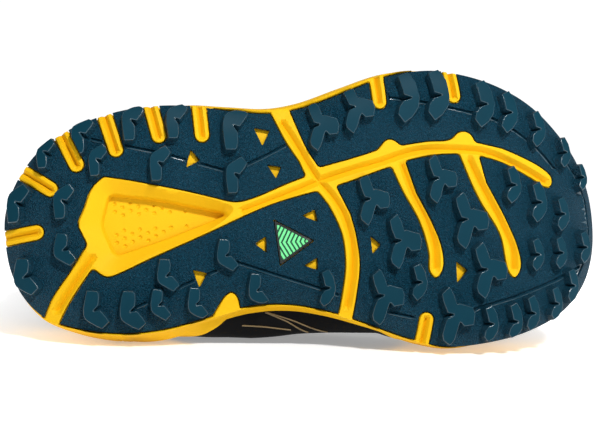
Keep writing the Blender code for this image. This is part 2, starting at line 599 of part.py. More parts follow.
def rim_loops(loop):
    """The foam's side as rings of points from its underside to its footbed."""
    out = outward(loop)
    seat = foam_seat(loop) + 3 * RIM_RISE / RIM_WIDTH * SEAT_LIP
    rim = side_values(loop, 2, 3) * FOAM_HEIGHT
    bulge = side_values(loop, 4, 5) * SIDE_BULGE
    inset = rim_inset(loop)
    profile = (
        # outward in metres, share of the way from seat to rim
        (SEAT_LIP, 0.0),
        (SEAT_LIP + 0.7 * bulge, 0.16),
        (SEAT_LIP + bulge, 0.34),
        (SEAT_LIP + 0.6 * bulge - 0.25 * inset, 0.62),
        (-inset, 1.0),
        (-inset - RIM_WALL, 1.0),
    )
    rings = []
    for offset, share in profile:
        plan = loop + out * (np.ones(len(loop)) * offset)[:, None]
        rings.append(np.column_stack([plan, seat + (rim - seat) * share]))
    inner = loop - out * (inset + RIM_WALL)[:, None]
    rings.append(np.column_stack([inner, footbed(inner)]))
    return rings


def bridge(first, second, count):
    """Quads between two rings whose points start at these indices."""
    return [(first + k, first + (k + 1) % count, second + (k + 1) % count, second + k) for k in range(count)]


def fill_loop(ring, spacing, height, loops=(), lines=()):
    """Points and triangles that fill a ring, at the height that a function gives inside it. The ring's own
    corners come first and stay where they are."""
    loop = ring[:, :2]
    grid = np.zeros((0, 2))
    if spacing:
        grid = grid_points(spacing)
        clear = inside(loop, grid) & (line_distance(grid, np.vstack([loop, loop[:1]])) > 0.4 * spacing)
        for other in list(loops) + list(lines):
            clear &= line_distance(grid, other) > 0.35 * spacing
        grid = grid[clear]
    points, triangles, _ = triangulate([loop, *loops], lines, grid)
    gap = np.linalg.norm(points[:, None] - loop[None], axis=2)
    on_ring = gap.min(1) < 1e-6
    corners = np.column_stack([points, height(points)])
    index = np.where(on_ring, gap.argmin(1), 0)
    index[~on_ring] = len(ring) + np.arange((~on_ring).sum())
    return np.vstack([ring, corners[~on_ring]]), index[triangles]


def rim_contours():
    """Lines along the rubber's rounded rim, which the rubber and the foam behind it share."""
    whole = outline_loop()
    found = []
    for share in (0.38, 0.78):
        loop = whole - outward(whole) * share * RIM_WIDTH
        found.append(np.vstack([loop, loop[:1]]))
    return found


def foam_underside(points):
    """The seat with the heel's recess and the channels' grooves cut into it."""
    high = foam_seat(points)
    floor = np.array([sole_point(*p) for p in CAVITY_FLOOR])
    deep = inside(scaled(floor, 1.02), points)
    high[deep] += CAVITY_DEPTH
    near = np.min([line_distance(points, line) for line in channel_lines()], axis=0)
    high += np.where(deep, 0.0, CHANNEL_DEPTH * np.clip(1 - near / CHANNEL_HALF, 0, 1))
    return high


def channel_lines(shift=0.0):
    """The grooves along the channels, or lines beside them."""
    lines = []
    for row in CHANNEL_LINES:
        line = np.array([sole_point(*p) for p in row])
        ahead = np.gradient(line, axis=0)
        side = np.column_stack([-ahead[:, 1], ahead[:, 0]]) / np.linalg.norm(ahead, axis=1)[:, None]
        lines.append(line + side * shift)
    return lines


def scaled(loop, share):
    middle = loop.mean(0)
    return middle + (loop - middle) * share


def closed_shell(rings, low, high):
    """Corners and faces of a body with a side of rings, closed by a fill below and one above. Each fill is
    its corners, the ring's own first, and its triangles."""
    count = len(rings[0])
    corners = np.vstack([*rings, low[0][count:], high[0][count:]])
    faces = []
    for k in range(len(rings) - 1):
        faces += bridge(k * count, (k + 1) * count, count)
    below = len(rings) * count
    above = below + len(low[0]) - count
    top_ring = (len(rings) - 1) * count
    faces += [tuple(v if v < count else below + v - count for v in t[::-1]) for t in low[1]]
    faces += [tuple(top_ring + v if v < count else above + v - count for v in t) for t in high[1]]
    return corners, faces


def midsole(finish):
    """The foam: an underside with its recess and grooves, a bulging side, a rim and a footbed."""
    rings = rim_loops(outline_loop())
    mouth = np.array([sole_point(*p) for p in CAVITY_MOUTH])
    floor = np.array([sole_point(*p) for p in CAVITY_FLOOR])
    lines = channel_lines() + channel_lines(CHANNEL_HALF) + channel_lines(-CHANNEL_HALF) + rim_contours()
    low = fill_loop(rings[0], FOAM_GRID, foam_underside, [mouth, floor], lines)
    high = fill_loop(rings[-1], None, footbed, (), footbed_lines(rings[-1][:, :2]))
    return add_object("midsole", *closed_shell(rings, low, high), finish)


def foot_loop(inset, count=UPPER_POINTS):
    """The last's feather line, inside the foam's rim by an inset, in plan."""
    loop = outline_loop(2 * OUTLINE_POINTS)
    return spaced(loop - outward(loop) * (rim_inset(loop) + RIM_WALL + inset)[:, None], count, closed=True)


def insole(finish):
    """A thin footbed inside the upper's foot edge."""
    loop = foot_loop(UPPER_WALL + OVERLAY_STEP + 4 * FIT_GAP)
    bottom = np.column_stack([loop, footbed(loop) + FIT_GAP])
    top = bottom + np.array((0, 0, INSOLE_WALL))
    lines = footbed_lines(loop)
    low = fill_loop(bottom, None, lambda p: footbed(p) + FIT_GAP, (), lines)
    high = fill_loop(top, None, lambda p: footbed(p) + FIT_GAP + INSOLE_WALL, (), lines)
    return add_object("insole", *closed_shell([bottom, top], low, high), finish)


def inlay(finish):
    """A three-cornered plate in its own window of the midfoot pad."""
    loop = scaled(np.array([sole_point(*p) for p in INLAY]), 0.94)
    high = foam_seat(loop) - FIT_GAP
    rings = [np.column_stack([loop, high - INLAY_WALL]), np.column_stack([loop, high])]
    corners = np.vstack(rings)
    faces = [(2, 1, 0), (3, 4, 5)] + bridge(0, 3, 3)
    return add_object("sole_inlay", corners, faces, finish)


def rail_rows():
    """The upper's rails, once round from the back of the heel by the lateral side: foot and top points, the
    table's columns and the outward flare, each as one array over UPPER_POINTS."""
    loop = foot_loop(2 * FIT_GAP + OVERLAY_STEP, 8 * UPPER_POINTS)
    heel, toe = np.argmin(loop[:, 0]), np.argmax(loop[:, 0])
    loop = np.roll(loop, -heel, 0)
    toe = (toe - heel) % len(loop)
    lateral, medial = loop[: toe + 1], np.vstack([loop[toe:], loop[:1]])[::-1]
    half = UPPER_POINTS // 2
    share = 0.5 - 0.5 * np.cos(math.pi * np.arange(half + 1) / half)
    across = loop[0, 0] + share * (loop[toe, 0] - loop[0, 0])
    sides = [np.column_stack([across, np.interp(across, way[:, 0], way[:, 1])]) for way in (lateral, medial)]
    feet = np.vstack([sides[0], sides[1][-2:0:-1]])
    share = np.concatenate([share, share[-2:0:-1]])
    side = np.concatenate([np.ones(half + 1), -np.ones(half - 1)])
    values = {name: column(UPPER_RAILS, share, k) for k, name in enumerate(RAIL_COLUMNS)}
    across = column(LAST_AXIS, values["top"], 1) + side * values["half"] * THROAT_WIDTH / SOLE_WIDTH
    top = np.column_stack([values["top"] * SOLE_LENGTH, -across * SOLE_WIDTH, values["height"] * COLLAR_HEIGHT])
    flare = np.where(side > 0, values["lateral"], values["medial"]) * SOLE_WIDTH
    foot = np.column_stack([feet, footbed(feet) + FIT_GAP])
    return foot, top, values, flare


def upper_surface(shares, offset):
    """The upper's outer face at each rail for rows of shares up the rails, from -1 at the foot and 0 at the
    foam's rim to 1 at the top. offset gives, for each row and rail, how far it stands proud of the last."""
    foot, top, values, flare = rail_rows()
    away = foot[:, :2] - top[:, :2]
    reach = np.linalg.norm(away, axis=1)
    away = np.column_stack([away / reach[:, None], np.zeros(len(foot))])
    up = np.array((0.0, 0.0, 1.0))
    out = np.column_stack([outward(foot[:, :2]), np.zeros(len(foot))])
    rim = np.column_stack([foot[:, :2], side_values(foot[:, :2], 2, 3) * FOAM_HEIGHT + 2 * FIT_GAP])
    handle = rim + up * (values["rise"] * COLLAR_HEIGHT)[:, None] + out * flare[:, None]
    over = top + away * (values["reach"] * reach)[:, None] - up * (values["drop"] * COLLAR_HEIGHT)[:, None]
    over = over + out * (0.7 * flare)[:, None]
    rows = []
    for t in shares:
        t = np.asarray(t)[:, None] if np.ndim(t) else np.full((len(foot), 1), t)
        curve = (1 - t) ** 3 * rim + 3 * (1 - t) ** 2 * t * handle + 3 * (1 - t) * t * t * over + t ** 3 * top
        rows.append(np.where(t < 0, rim + t * (rim - foot), curve))
    grid = np.array(rows)
    round_way = np.roll(grid, -1, 1) - np.roll(grid, 1, 1)
    up_way = np.gradient(grid, axis=0)
    normal = np.cross(round_way, up_way)
    normal /= np.linalg.norm(normal, axis=2)[..., None]
    if (normal[0] * out).sum() < 0:
        normal = -normal
    return grid + normal * offset[..., None], normal


def upper_shares():
    """Rows up the rails: the foot band and the throat band each end in a step."""
    values = rail_rows()[2]
    band, collar = values["band"], values["collar"]
    ones = np.ones_like(band)
    edge = 0.006
    rows = [-ones, 0 * ones, 0.45 * band, band - edge, band, band + (collar - band) / 3, band + (collar - band) * 2 / 3,
            collar, collar + edge, 0.5 * (collar + 1), ones]
    proud = [1, 1, 1, 1, 0, 0, 0, 0, 1, 1, 1]
    return rows, np.array(proud)[:, None] * OVERLAY_STEP * np.ones(len(band))


def upper(finish):
    """The upper as one hollow wall, open at the collar, at the throat and underneath."""
    shares, proud = upper_shares()
    outer, normal = upper_surface(shares, proud)
    values = rail_rows()[2]
    padded = np.interp(values["foot"], (0.0, 0.24, 0.33), (1.0, 1.0, 0.0))
    thick = np.full(outer.shape[:2], UPPER_WALL)
    for row, share in ((-4, 0.4), (-3, 1.0), (-2, 1.0), (-1, 0.5)):
        thick[row] += share * padded * COLLAR_PADDING
    inner = outer - normal * (proud + thick)[..., None]
    rows, count = outer.shape[:2]
    rings = list(outer) + list(inner[::-1])
    faces = []
    for k in range(len(rings)):
        faces += bridge(k * count, (k + 1) % len(rings) * count, count)
    return add_object("upper", np.vstack(rings), faces, finish)


def tongue(finish):
    """A padded flap under the throat, from inside the vamp to above the top eyelets."""
    shares = (0.84, 0.92, 1.0)
    outer, normal = upper_surface(shares, np.zeros((3, UPPER_POINTS)))
    inner = outer - normal * (UPPER_WALL + 7 * FIT_GAP)
    values = rail_rows()[2]
    lateral = [k for k in range(UPPER_POINTS // 2) if 0.39 <= values["foot"][k] <= 0.965]
    rows = []
    for k in lateral[::2]:
        across = [inner[0, k], inner[1, k], inner[2, k]]
        other = UPPER_POINTS - k
        mirror = [inner[2, other], inner[1, other], inner[0, other]]
        middle = 0.5 * (across[2] + mirror[0]) + np.array((0, 0, TONGUE_CROWN))
        rows.append(np.array([*across, middle, *mirror]))
    top = rows[0]
    centre = top[3]
    for step in (0.5, 1.0):
        narrow = centre + (top - centre) * (1 - 0.54 * step)
        rows.insert(0, narrow + np.array((-0.9, 0, 1.0)) * TONGUE_RISE * step)
    face = np.array(rows)
    run = np.gradient(face, axis=0)
    over = np.gradient(face, axis=1)
    down = np.cross(run, over)
    down /= np.linalg.norm(down, axis=2)[..., None]
    down *= -np.sign(down[..., 2].mean())
    back = face + down * TONGUE_WALL
    count = face.shape[1]
    corners = np.vstack([face.reshape(-1, 3), back.reshape(-1, 3)])
    under = face.shape[0] * count
    faces = []
    for r in range(face.shape[0] - 1):
        for c in range(count - 1):
            a = r * count + c
            faces.append((a, a + 1, a + count + 1, a + count))
            faces.append((under + a, under + a + count, under + a + count + 1, under + a + 1))
    rim = [c for c in range(count)]
    rim += [r * count + count - 1 for r in range(1, face.shape[0])]
    rim += [(face.shape[0] - 1) * count + c for c in range(count - 2, -1, -1)]
    rim += [r * count for r in range(face.shape[0] - 2, 0, -1)]
    for a, b in zip(rim, rim[1:] + rim[:1]):
        faces.append((b, a, under + a, under + b))
    return add_object("tongue", corners, faces, finish)


def eyelet_stops(run):
    """How far along the throat the eyelets are, from its front to the top."""
    foot = rail_rows()[2]["foot"][: UPPER_POINTS // 2 + 1]
    return [float(np.interp(at, foot, run)) for at in np.linspace(EYELET_FRONT, EYELET_TOP, LACE_CROSSINGS + 1)]


def strip_loop(start, end, width):
    """A straight strip between two plan points, a little longer at each end."""
    way = (end - start) / np.linalg.norm(end - start)
    side = np.array((-way[1], way[0])) * 0.5 * width
    start, end = start - way * 0.3 * width, end + way * 0.3 * width
    return np.array([start - side, end - side, end + side, start + side])


def laces(finish):
    """The laced part of one lace, joined to one solid: a bar across the front eyelets, then crossings up to
    the top eyelets. It is cut flat, as run along the throat and distance across it, and laid over the throat."""
    proud = OVERLAY_STEP + 3 * FIT_GAP
    outer, _ = upper_surface((EYELET_SHARE, 1.0), np.full((2, UPPER_POINTS), proud))
    half = UPPER_POINTS // 2
    other = (UPPER_POINTS - np.arange(half + 1)) % UPPER_POINTS
    far, edge = outer[0], outer[1]
    middle = 0.5 * (edge[: half + 1] + edge[other])
    run = np.concatenate([[0.0], np.cumsum(np.linalg.norm(np.diff(middle, axis=0), axis=1))])
    width = 0.5 * np.linalg.norm(edge[: half + 1] - edge[other], axis=1)

    def laid(flat):
        at = lambda rows: np.stack([np.interp(flat[:, 0], run, rows[:, k]) for k in range(3)], axis=1)
        centre = at(middle)
        lateral = (flat[:, 1] > 0)[:, None]
        side = np.where(lateral, at(edge[: half + 1]), at(edge[other]))
        outside = np.where(lateral, at(far[: half + 1]), at(far[other]))
        reach = np.interp(flat[:, 0], run, width)
        over = np.clip(abs(flat[:, 1]) / reach, 0, 1)[:, None]
        down = np.clip(abs(flat[:, 1]) - reach, 0, None)[:, None]
        away = (outside - side) / np.linalg.norm(outside - side, axis=1)[:, None]
        crown = 0.5 * TONGUE_CROWN * (1 - over ** 2) * np.array((0, 0, 1.0))
        return centre + (side - centre) * over + away * down + crown

    strips = []
    stops = eyelet_stops(run)
    reach = [float(np.interp(s, run, width)) + 0.004 for s in stops]
    pairs = [(0, 0)] + [pair for k in range(LACE_CROSSINGS) for pair in ((k, k + 1), (k + 1, k))]
    for a, b in pairs:
        strips.append(strip_loop(np.array((stops[a], reach[a])), np.array((stops[b], -reach[b])), LACE_WIDTH))
    lines = [np.array([(s, sign * np.interp(s, run, width)) for s in run[half // 4: half - 2]]) for sign in (1, -1)]
    flat, triangles, held = triangulate(strips, lines)
    triangles = np.array([t for t, h in zip(triangles, held) if h])
    step = 1e-4
    ahead = laid(flat + (step, 0)) - laid(flat - (step, 0))
    across = laid(flat + (0, step)) - laid(flat - (0, step))
    normal = np.cross(across, ahead)
    normal /= np.linalg.norm(normal, axis=1)[:, None]
    normal *= np.sign(normal[:, 2:])
    low = laid(flat)
    corners = np.vstack([low, low + normal * LACE_WALL])
    count = len(flat)
    faces = [tuple(t) for t in triangles] + [tuple(t[::-1] + count) for t in triangles]
    faces += [(a, b, b + count, a + count) for a, b in boundary([tuple(t) for t in triangles])]
    return add_object("laces", corners, faces, finish)


def volume_and_centre(mesh):
    """A closed mesh's volume and centre of volume."""
    mesh.calc_loop_triangles()
    points = np.array([v.co for v in mesh.vertices])
    a, b, c = (points[[t.vertices[k] for t in mesh.loop_triangles]] for k in range(3))
    share = (np.cross(a, b) * c).sum(1) / 6
    return share.sum(), ((a + b + c) / 4 * share[:, None]).sum(0) / share.sum()


def resting_pose(pieces):
    """The matrix that lays the shoe on its medial side. The face of its convex hull that its centre of mass
    stands over, with the upper on the ground too, becomes the ground, and the middle of its box comes over
    the origin."""
    mass, moment, cloud = 0.0, np.zeros(3), []
    for piece in pieces:
        volume, centre = volume_and_centre(piece.data)
        mass += volume * DENSITIES[piece.name]
        moment += volume * DENSITIES[piece.name] * centre
        cloud += [v.co.copy() for v in piece.data.vertices]
    centre = moment / mass
    hull = bmesh.new()
    for point in cloud:
        hull.verts.new(point)
    made = bmesh.ops.convex_hull(hull, input=hull.verts)
    faces = [f for f in made["geom"] if isinstance(f, bmesh.types.BMFace)]
    best = None
    for face in faces:
        a, b, c = (np.array(v.co) for v in face.verts)
        normal = np.cross(b - a, c - a)
        if np.linalg.norm(normal) < 1e-12:
            continue
        normal /= np.linalg.norm(normal)
        if (a - centre) @ normal < 0:
            normal = -normal
        foot = centre + normal * ((a - centre) @ normal)
        turns = [np.cross(q - p, foot - p) @ normal for p, q in ((a, b), (b, c), (c, a))]
        stands_over = min(turns) >= 0 or max(turns) <= 0
        if stands_over and normal[2] > 0 and (best is None or normal[1] > best[1]):
            best = normal
    hull.free()
    lie = Matrix.Rotation(-math.pi / 2, 4, "X")
    down = lie.to_3x3() @ Vector(best)
    level = down.rotation_difference(Vector((0, 0, -1))).to_matrix().to_4x4()
    turn = level @ lie
    placed = np.array([turn @ p for p in cloud])
    low, high = placed.min(0), placed.max(0)
    shift = Matrix.Translation((-(low[0] + high[0]) / 2, -(low[1] + high[1]) / 2, -low[2]))
    return shift @ turn


def main():
    clear_scene()
    rubber = material("outsole rubber", RUBBER, 0.62)
    foam = material("midsole foam", FOAM, 0.50)
    mint = material("inlay film", MINT, 0.40)
    mesh = material("upper mesh", MESH, 0.85)
    trim = material("tongue cloth", TRIM, 0.80)
    sock = material("insole cloth", SOCK, 0.90)
    pieces = [
        rubber_pad("outsole_heel", HEEL_PAD, rubber),
        rubber_pad("outsole_midfoot", MIDFOOT_PAD, rubber),
        rubber_pad("outsole_forefoot", FOREFOOT_PAD, rubber),
        inlay(mint),
        midsole(foam),
        insole(sock),
        upper(mesh),
        tongue(trim),
        laces(material("lace cord", TRIM, 0.75)),
    ]
    ground = bpy.data.objects.new("lying_pose", None)
    bpy.context.scene.collection.objects.link(ground)
    ground.matrix_world = resting_pose(pieces)
    for piece in pieces:
        piece.parent = ground
    bpy.context.view_layer.update()


main()
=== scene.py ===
"""The look of a right trail running shoe that lies on its medial side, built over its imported
solids.

Shapes are worked out in the shoe's own frame, as in its solids: x from heel to toe, y to the medial side and
z up from the ground that the standing shoe rests on. Places on the sole are shares: along of SOLE_LENGTH from
the heel, across of SOLE_WIDTH from the sole's axis, positive to the lateral side.
"""

import functools
import math

import bmesh
import bpy
import numpy as np
from mathutils import Euler, Matrix, Vector
from mathutils.geometry import delaunay_2d_cdt


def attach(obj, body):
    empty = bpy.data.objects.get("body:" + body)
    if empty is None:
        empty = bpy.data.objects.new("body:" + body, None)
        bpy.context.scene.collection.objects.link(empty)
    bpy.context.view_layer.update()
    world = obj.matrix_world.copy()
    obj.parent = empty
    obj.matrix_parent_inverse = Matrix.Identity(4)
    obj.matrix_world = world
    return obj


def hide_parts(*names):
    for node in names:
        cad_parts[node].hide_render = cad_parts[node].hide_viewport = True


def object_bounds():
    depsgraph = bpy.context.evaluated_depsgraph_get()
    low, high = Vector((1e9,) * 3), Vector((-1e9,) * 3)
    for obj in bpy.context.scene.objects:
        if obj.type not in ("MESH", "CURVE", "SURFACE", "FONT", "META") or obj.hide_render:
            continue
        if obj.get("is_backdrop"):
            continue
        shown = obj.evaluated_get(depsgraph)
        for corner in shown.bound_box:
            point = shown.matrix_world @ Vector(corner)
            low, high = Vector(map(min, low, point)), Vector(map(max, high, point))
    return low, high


bl_info = {
    "name": "Trail running shoe",
    "version": (1, 0, 0),
    "blender": (4, 5, 0),
    "location": "3D View > Sidebar > Shoe",
    "description": "Builds the look of a trail running shoe over its packed solids",
    "category": "Object",
}

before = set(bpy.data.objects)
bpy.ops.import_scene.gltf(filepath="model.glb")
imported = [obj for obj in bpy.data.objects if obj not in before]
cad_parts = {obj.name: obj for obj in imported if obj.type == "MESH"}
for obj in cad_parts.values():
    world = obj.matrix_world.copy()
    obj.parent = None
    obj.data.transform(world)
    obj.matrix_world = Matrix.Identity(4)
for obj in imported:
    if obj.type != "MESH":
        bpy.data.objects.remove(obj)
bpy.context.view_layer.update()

# How the shoe lies: turns about X, Y and Z in degrees, then its place in metres
LYING_TURN = (-100.44945, -1.44188, 0.13186)
LYING_PLACE = (-0.140832, -0.046231, 0.057666)

# The camera, from the middle of the sole: its turn and tilt in degrees, its distance and shift in metres,
# its lens and sensor in millimetres and how near it sees in metres
CAMERA_YAW = 9.0
CAMERA_PITCH = 6.0
CAMERA_DISTANCE = 0.450
CAMERA_RIGHT = -0.01115
CAMERA_UP = 0.00112
CAMERA_LENS = 59.82
CAMERA_SENSOR = 36.0
CAMERA_CLIP = 0.02

# Driving dimensions, in metres
SOLE_LENGTH = 0.284
SOLE_WIDTH = 0.125
LUG_DEPTH = 0.0045
LUG_LENGTH = 0.0235
RUBBER_WALL = 0.0020
FIT_GAP = 0.0003
HEEL_BEVEL = 0.0100
ARCH_RISE = 0.0025
TOE_SPRING = 0.0190
RIM_RISE = 0.0030
RIM_WIDTH = 0.0140
SLOT_WIDTH = 0.0066
SEAT_LIP = 0.0010
CAVITY_DEPTH = 0.0060
FOAM_HEIGHT = 0.0460
SIDE_BULGE = 0.0055
RIM_INSET = 0.0050
RIM_WALL = 0.0024
COLLAR_HEIGHT = 0.0930
UPPER_WALL = 0.0020
OVERLAY_STEP = 0.0009
COLLAR_PADDING = 0.0035
THROAT_WIDTH = 0.0620
TONGUE_WALL = 0.0040
TONGUE_CROWN = 0.0020
TONGUE_RISE = 0.0130
INSOLE_WALL = 0.0040
INLAY_WALL = 0.0012
LACE_WIDTH = 0.0055
LACE_WALL = 0.0014
LACE_CROSSINGS = 6

# The eyelets' rails, as shares of the upper's length, and how far up the rails they lie
EYELET_FRONT = 0.80
EYELET_TOP = 0.40
EYELET_SHARE = 0.90

# The rubber's outer edge, once round from the back of the heel by the lateral side: along, across
OUTLINE = (
    (0.000, -0.030), (0.006, 0.043), (0.025, 0.140), (0.057, 0.231), (0.098, 0.295), (0.149, 0.346),
    (0.210, 0.382), (0.280, 0.394), (0.350, 0.381), (0.415, 0.376), (0.470, 0.400), (0.540, 0.463),
    (0.610, 0.528), (0.680, 0.558), (0.737, 0.547), (0.805, 0.507), (0.866, 0.442), (0.917, 0.351),
    (0.961, 0.238), (0.987, 0.108), (0.995, -0.035), (0.989, -0.142), (0.968, -0.248), (0.921, -0.352),
    (0.853, -0.425), (0.780, -0.466), (0.705, -0.480), (0.640, -0.447), (0.570, -0.392), (0.510, -0.349),
    (0.450, -0.325), (0.385, -0.331), (0.320, -0.371), (0.250, -0.414), (0.185, -0.428), (0.120, -0.412),
    (0.067, -0.373), (0.034, -0.304), (0.013, -0.214), (0.003, -0.118),
)

# Each rubber pad as runs of points, smooth within a run, that meet in rounded corners: along, across.
# The last run goes round outside the outline, which trims it.
HEEL_PAD = (
    ((0.056, -0.450), (0.077, -0.312), (0.106, -0.209), (0.129, -0.119)),
    ((0.120, -0.079), (0.114, -0.050), (0.123, 0.010), (0.135, 0.086), (0.153, 0.126)),
    ((0.194, 0.114), (0.287, 0.078), (0.326, 0.059), (0.360, 0.045), (0.385, 0.058), (0.445, 0.118),
     (0.472, 0.142)),
    ((0.461, 0.196), (0.437, 0.277), (0.400, 0.460)),
    ((0.200, 0.600), (-0.100, 0.500), (-0.100, -0.550)),
)
MIDFOOT_PAD = (
    ((0.080, -0.450), (0.103, -0.339), (0.129, -0.242), (0.140, -0.206)),
    ((0.150, -0.224), (0.161, -0.237), (0.175, -0.228), (0.227, -0.171), (0.319, -0.073), (0.413, 0.029),
     (0.461, 0.065), (0.492, 0.085)),
    ((0.509, 0.035), (0.522, -0.021), (0.532, -0.084), (0.536, -0.187), (0.531, -0.283), (0.521, -0.450)),
    ((0.300, -0.600),),
)
FOREFOOT_PAD = (
    ((0.437, 0.500), (0.452, 0.374), (0.474, 0.253), (0.495, 0.178)),
    ((0.542, 0.209), (0.583, 0.240), (0.594, 0.252), (0.600, 0.278), (0.612, 0.290), (0.623, 0.281),
     (0.630, 0.266)),
    ((0.675, 0.284), (0.716, 0.294), (0.725, 0.318), (0.738, 0.328), (0.751, 0.316), (0.758, 0.286)),
    ((0.806, 0.267), (0.843, 0.238), (0.880, 0.203), (0.902, 0.165), (0.900, 0.127), (0.886, 0.121),
     (0.862, 0.149), (0.833, 0.182), (0.806, 0.208), (0.765, 0.230)),
    ((0.777, 0.132), (0.812, -0.010), (0.833, -0.118), (0.837, -0.190), (0.823, -0.231), (0.810, -0.200),
     (0.797, -0.065), (0.767, 0.041), (0.750, 0.115), (0.728, 0.236)),
    ((0.700, 0.232), (0.666, 0.219), (0.639, 0.204)),
    ((0.657, 0.090), (0.683, -0.024), (0.699, -0.123), (0.700, -0.195), (0.687, -0.234), (0.674, -0.204),
     (0.674, -0.141), (0.658, -0.018), (0.632, 0.088), (0.613, 0.180)),
    ((0.591, 0.162), (0.558, 0.132), (0.524, 0.106)),
    ((0.547, 0.004), (0.556, -0.073), (0.562, -0.184), (0.557, -0.282), (0.545, -0.480)),
    ((0.800, -0.700), (1.150, -0.400), (1.150, 0.500), (0.800, 0.750)),
)

PADS = {"outsole_heel": HEEL_PAD, "outsole_midfoot": MIDFOOT_PAD, "outsole_forefoot": FOREFOOT_PAD}

# Foam slots that run in from the sole's edge, from mouth to inner end: along, across, along, across
SLOTS = (
    (-0.030, -0.108, 0.065, -0.071), (0.003, 0.176, 0.083, 0.061), (0.079, 0.306, 0.117, 0.138),
    (0.148, 0.375, 0.175, 0.192), (0.217, 0.440, 0.241, 0.246), (0.298, 0.440, 0.307, 0.254),
    (0.590, 0.590, 0.596, 0.396), (0.714, 0.620, 0.723, 0.428), (0.658, -0.560, 0.672, -0.352),
)
ARCH_NOTCH = (
    (0.306, -0.450), (0.330, -0.348), (0.344, -0.296), (0.355, -0.280), (0.364, -0.294), (0.370, -0.330),
    (0.376, -0.450),
)

# Three-cornered windows through the rubber, a corner each: along, across
WINDOWS = (
    ((0.288, 0.226), (0.302, 0.192), (0.282, 0.166)), ((0.390, 0.316), (0.414, 0.308), (0.403, 0.255)),
    ((0.412, 0.180), (0.433, 0.174), (0.425, 0.135)), ((0.393, -0.108), (0.409, -0.083), (0.410, -0.138)),
    ((0.294, -0.207), (0.315, -0.217), (0.304, -0.264)), ((0.469, -0.004), (0.488, 0.018), (0.492, -0.024)),
    ((0.472, -0.186), (0.492, -0.158), (0.492, -0.200)), ((0.579, -0.079), (0.595, -0.107), (0.582, -0.139)),
    ((0.722, -0.168), (0.740, -0.200), (0.723, -0.243)),
)
INLAY = ((0.423, -0.023), (0.485, -0.095), (0.433, -0.183))

# The lugs: shape, along, across, length as a share of LUG_LENGTH, and 1 or -1 for a shape flipped across
LUGS = (
    ("hook", 0.197, 0.317, 0.78, 1), ("hook", 0.121, 0.266, 0.76, 1), ("hook", 0.067, 0.202, 0.64, 1),
    ("hook", 0.027, 0.026, 0.78, 1), ("hook", 0.145, 0.178, 0.66, 1), ("hook", 0.095, 0.032, 0.72, 1),
    ("hook", 0.264, 0.328, 0.76, 1), ("hook", 0.357, 0.311, 0.94, 1), ("hook", 0.239, 0.172, 0.74, 1),
    ("hook", 0.359, 0.139, 0.78, 1), ("hook", 0.099, -0.140, 0.67, -1), ("hook", 0.043, -0.232, 0.74, -1),
    ("hook", 0.147, -0.345, 0.74, -1), ("hook", 0.201, -0.348, 0.76, -1), ("hook", 0.243, -0.328, 0.61, -1),
    ("hook", 0.254, -0.227, 0.67, -1), ("hook", 0.300, -0.323, 0.63, -1), ("hook", 0.346, -0.154, 0.67, -1),
    ("hook", 0.396, -0.273, 0.65, -1), ("bow", 0.507, -0.265, 0.78, 1), ("fork", 0.499, 0.320, 1.05, 1),
    ("fork", 0.557, 0.388, 1.06, 1), ("fork", 0.580, 0.051, 1.08, 1), ("fork", 0.630, -0.101, 1.14, 1),
    ("fork", 0.601, -0.301, 1.12, 1), ("fork", 0.694, 0.133, 1.04, 1), ("fork", 0.742, -0.020, 1.20, 1),
    ("fork", 0.773, -0.204, 1.18, 1), ("fork", 0.716, -0.370, 1.18, 1), ("bow", 0.640, 0.438, 1.14, 1),
    ("bow", 0.691, 0.452, 1.16, 1), ("bow", 0.769, 0.424, 1.08, 1), ("bow", 0.813, 0.397, 0.96, 1),
    ("bow", 0.867, 0.341, 0.84, 1), ("bow", 0.920, 0.260, 0.72, 1), ("bow", 0.957, 0.170, 0.64, 1),
    ("bow", 0.818, 0.122, 0.86, 1), ("bow", 0.865, 0.061, 0.94, 1), ("bow", 0.912, 0.021, 0.80, 1),
    ("bow", 0.860, -0.138, 0.76, 1), ("bow", 0.906, -0.128, 0.76, 1), ("bow", 0.957, -0.102, 0.76, 1),
    ("bow", 0.929, -0.250, 0.76, 1), ("bow", 0.774, -0.394, 0.78, 1), ("bow", 0.817, -0.385, 0.80, 1),
    ("bow", 0.849, -0.355, 0.78, 1), ("bow", 0.895, -0.318, 0.74, 1), ("bow", 0.655, -0.245, 0.82, 1),
)

# The recess in the foam under the heel: its mouth and its sunken floor
CAVITY_MOUTH = (
    (0.133, -0.150), (0.124, -0.090), (0.119, -0.050), (0.128, 0.010), (0.140, 0.086), (0.157, 0.116),
    (0.240, 0.085), (0.326, 0.050), (0.357, 0.018), (0.319, -0.062), (0.227, -0.158), (0.168, -0.220),
    (0.145, -0.205),
)
CAVITY_FLOOR = (
    (0.163, 0.060), (0.153, -0.047), (0.174, -0.152), (0.241, -0.099), (0.348, 0.000), (0.241, 0.043),
)

# The grooves along the foam channels between the pads
CHANNEL_LINES = (
    ((0.372, 0.012), (0.413, 0.049), (0.461, 0.093), (0.495, 0.126), (0.542, 0.163), (0.591, 0.197),
     (0.658, 0.247), (0.734, 0.255), (0.778, 0.246), (0.852, 0.184), (0.888, 0.145)),
    ((0.436, 0.340), (0.461, 0.249), (0.481, 0.172), (0.495, 0.126), (0.514, 0.077), (0.534, 0.007),
     (0.548, -0.100), (0.549, -0.200), (0.541, -0.330)),
    ((0.633, 0.190), (0.650, 0.090), (0.672, -0.010), (0.686, -0.110), (0.687, -0.190)),
    ((0.747, 0.215), (0.770, 0.110), (0.802, -0.020), (0.822, -0.120), (0.823, -0.190)),
    ((0.138, -0.165), (0.112, -0.255), (0.088, -0.345)),
)

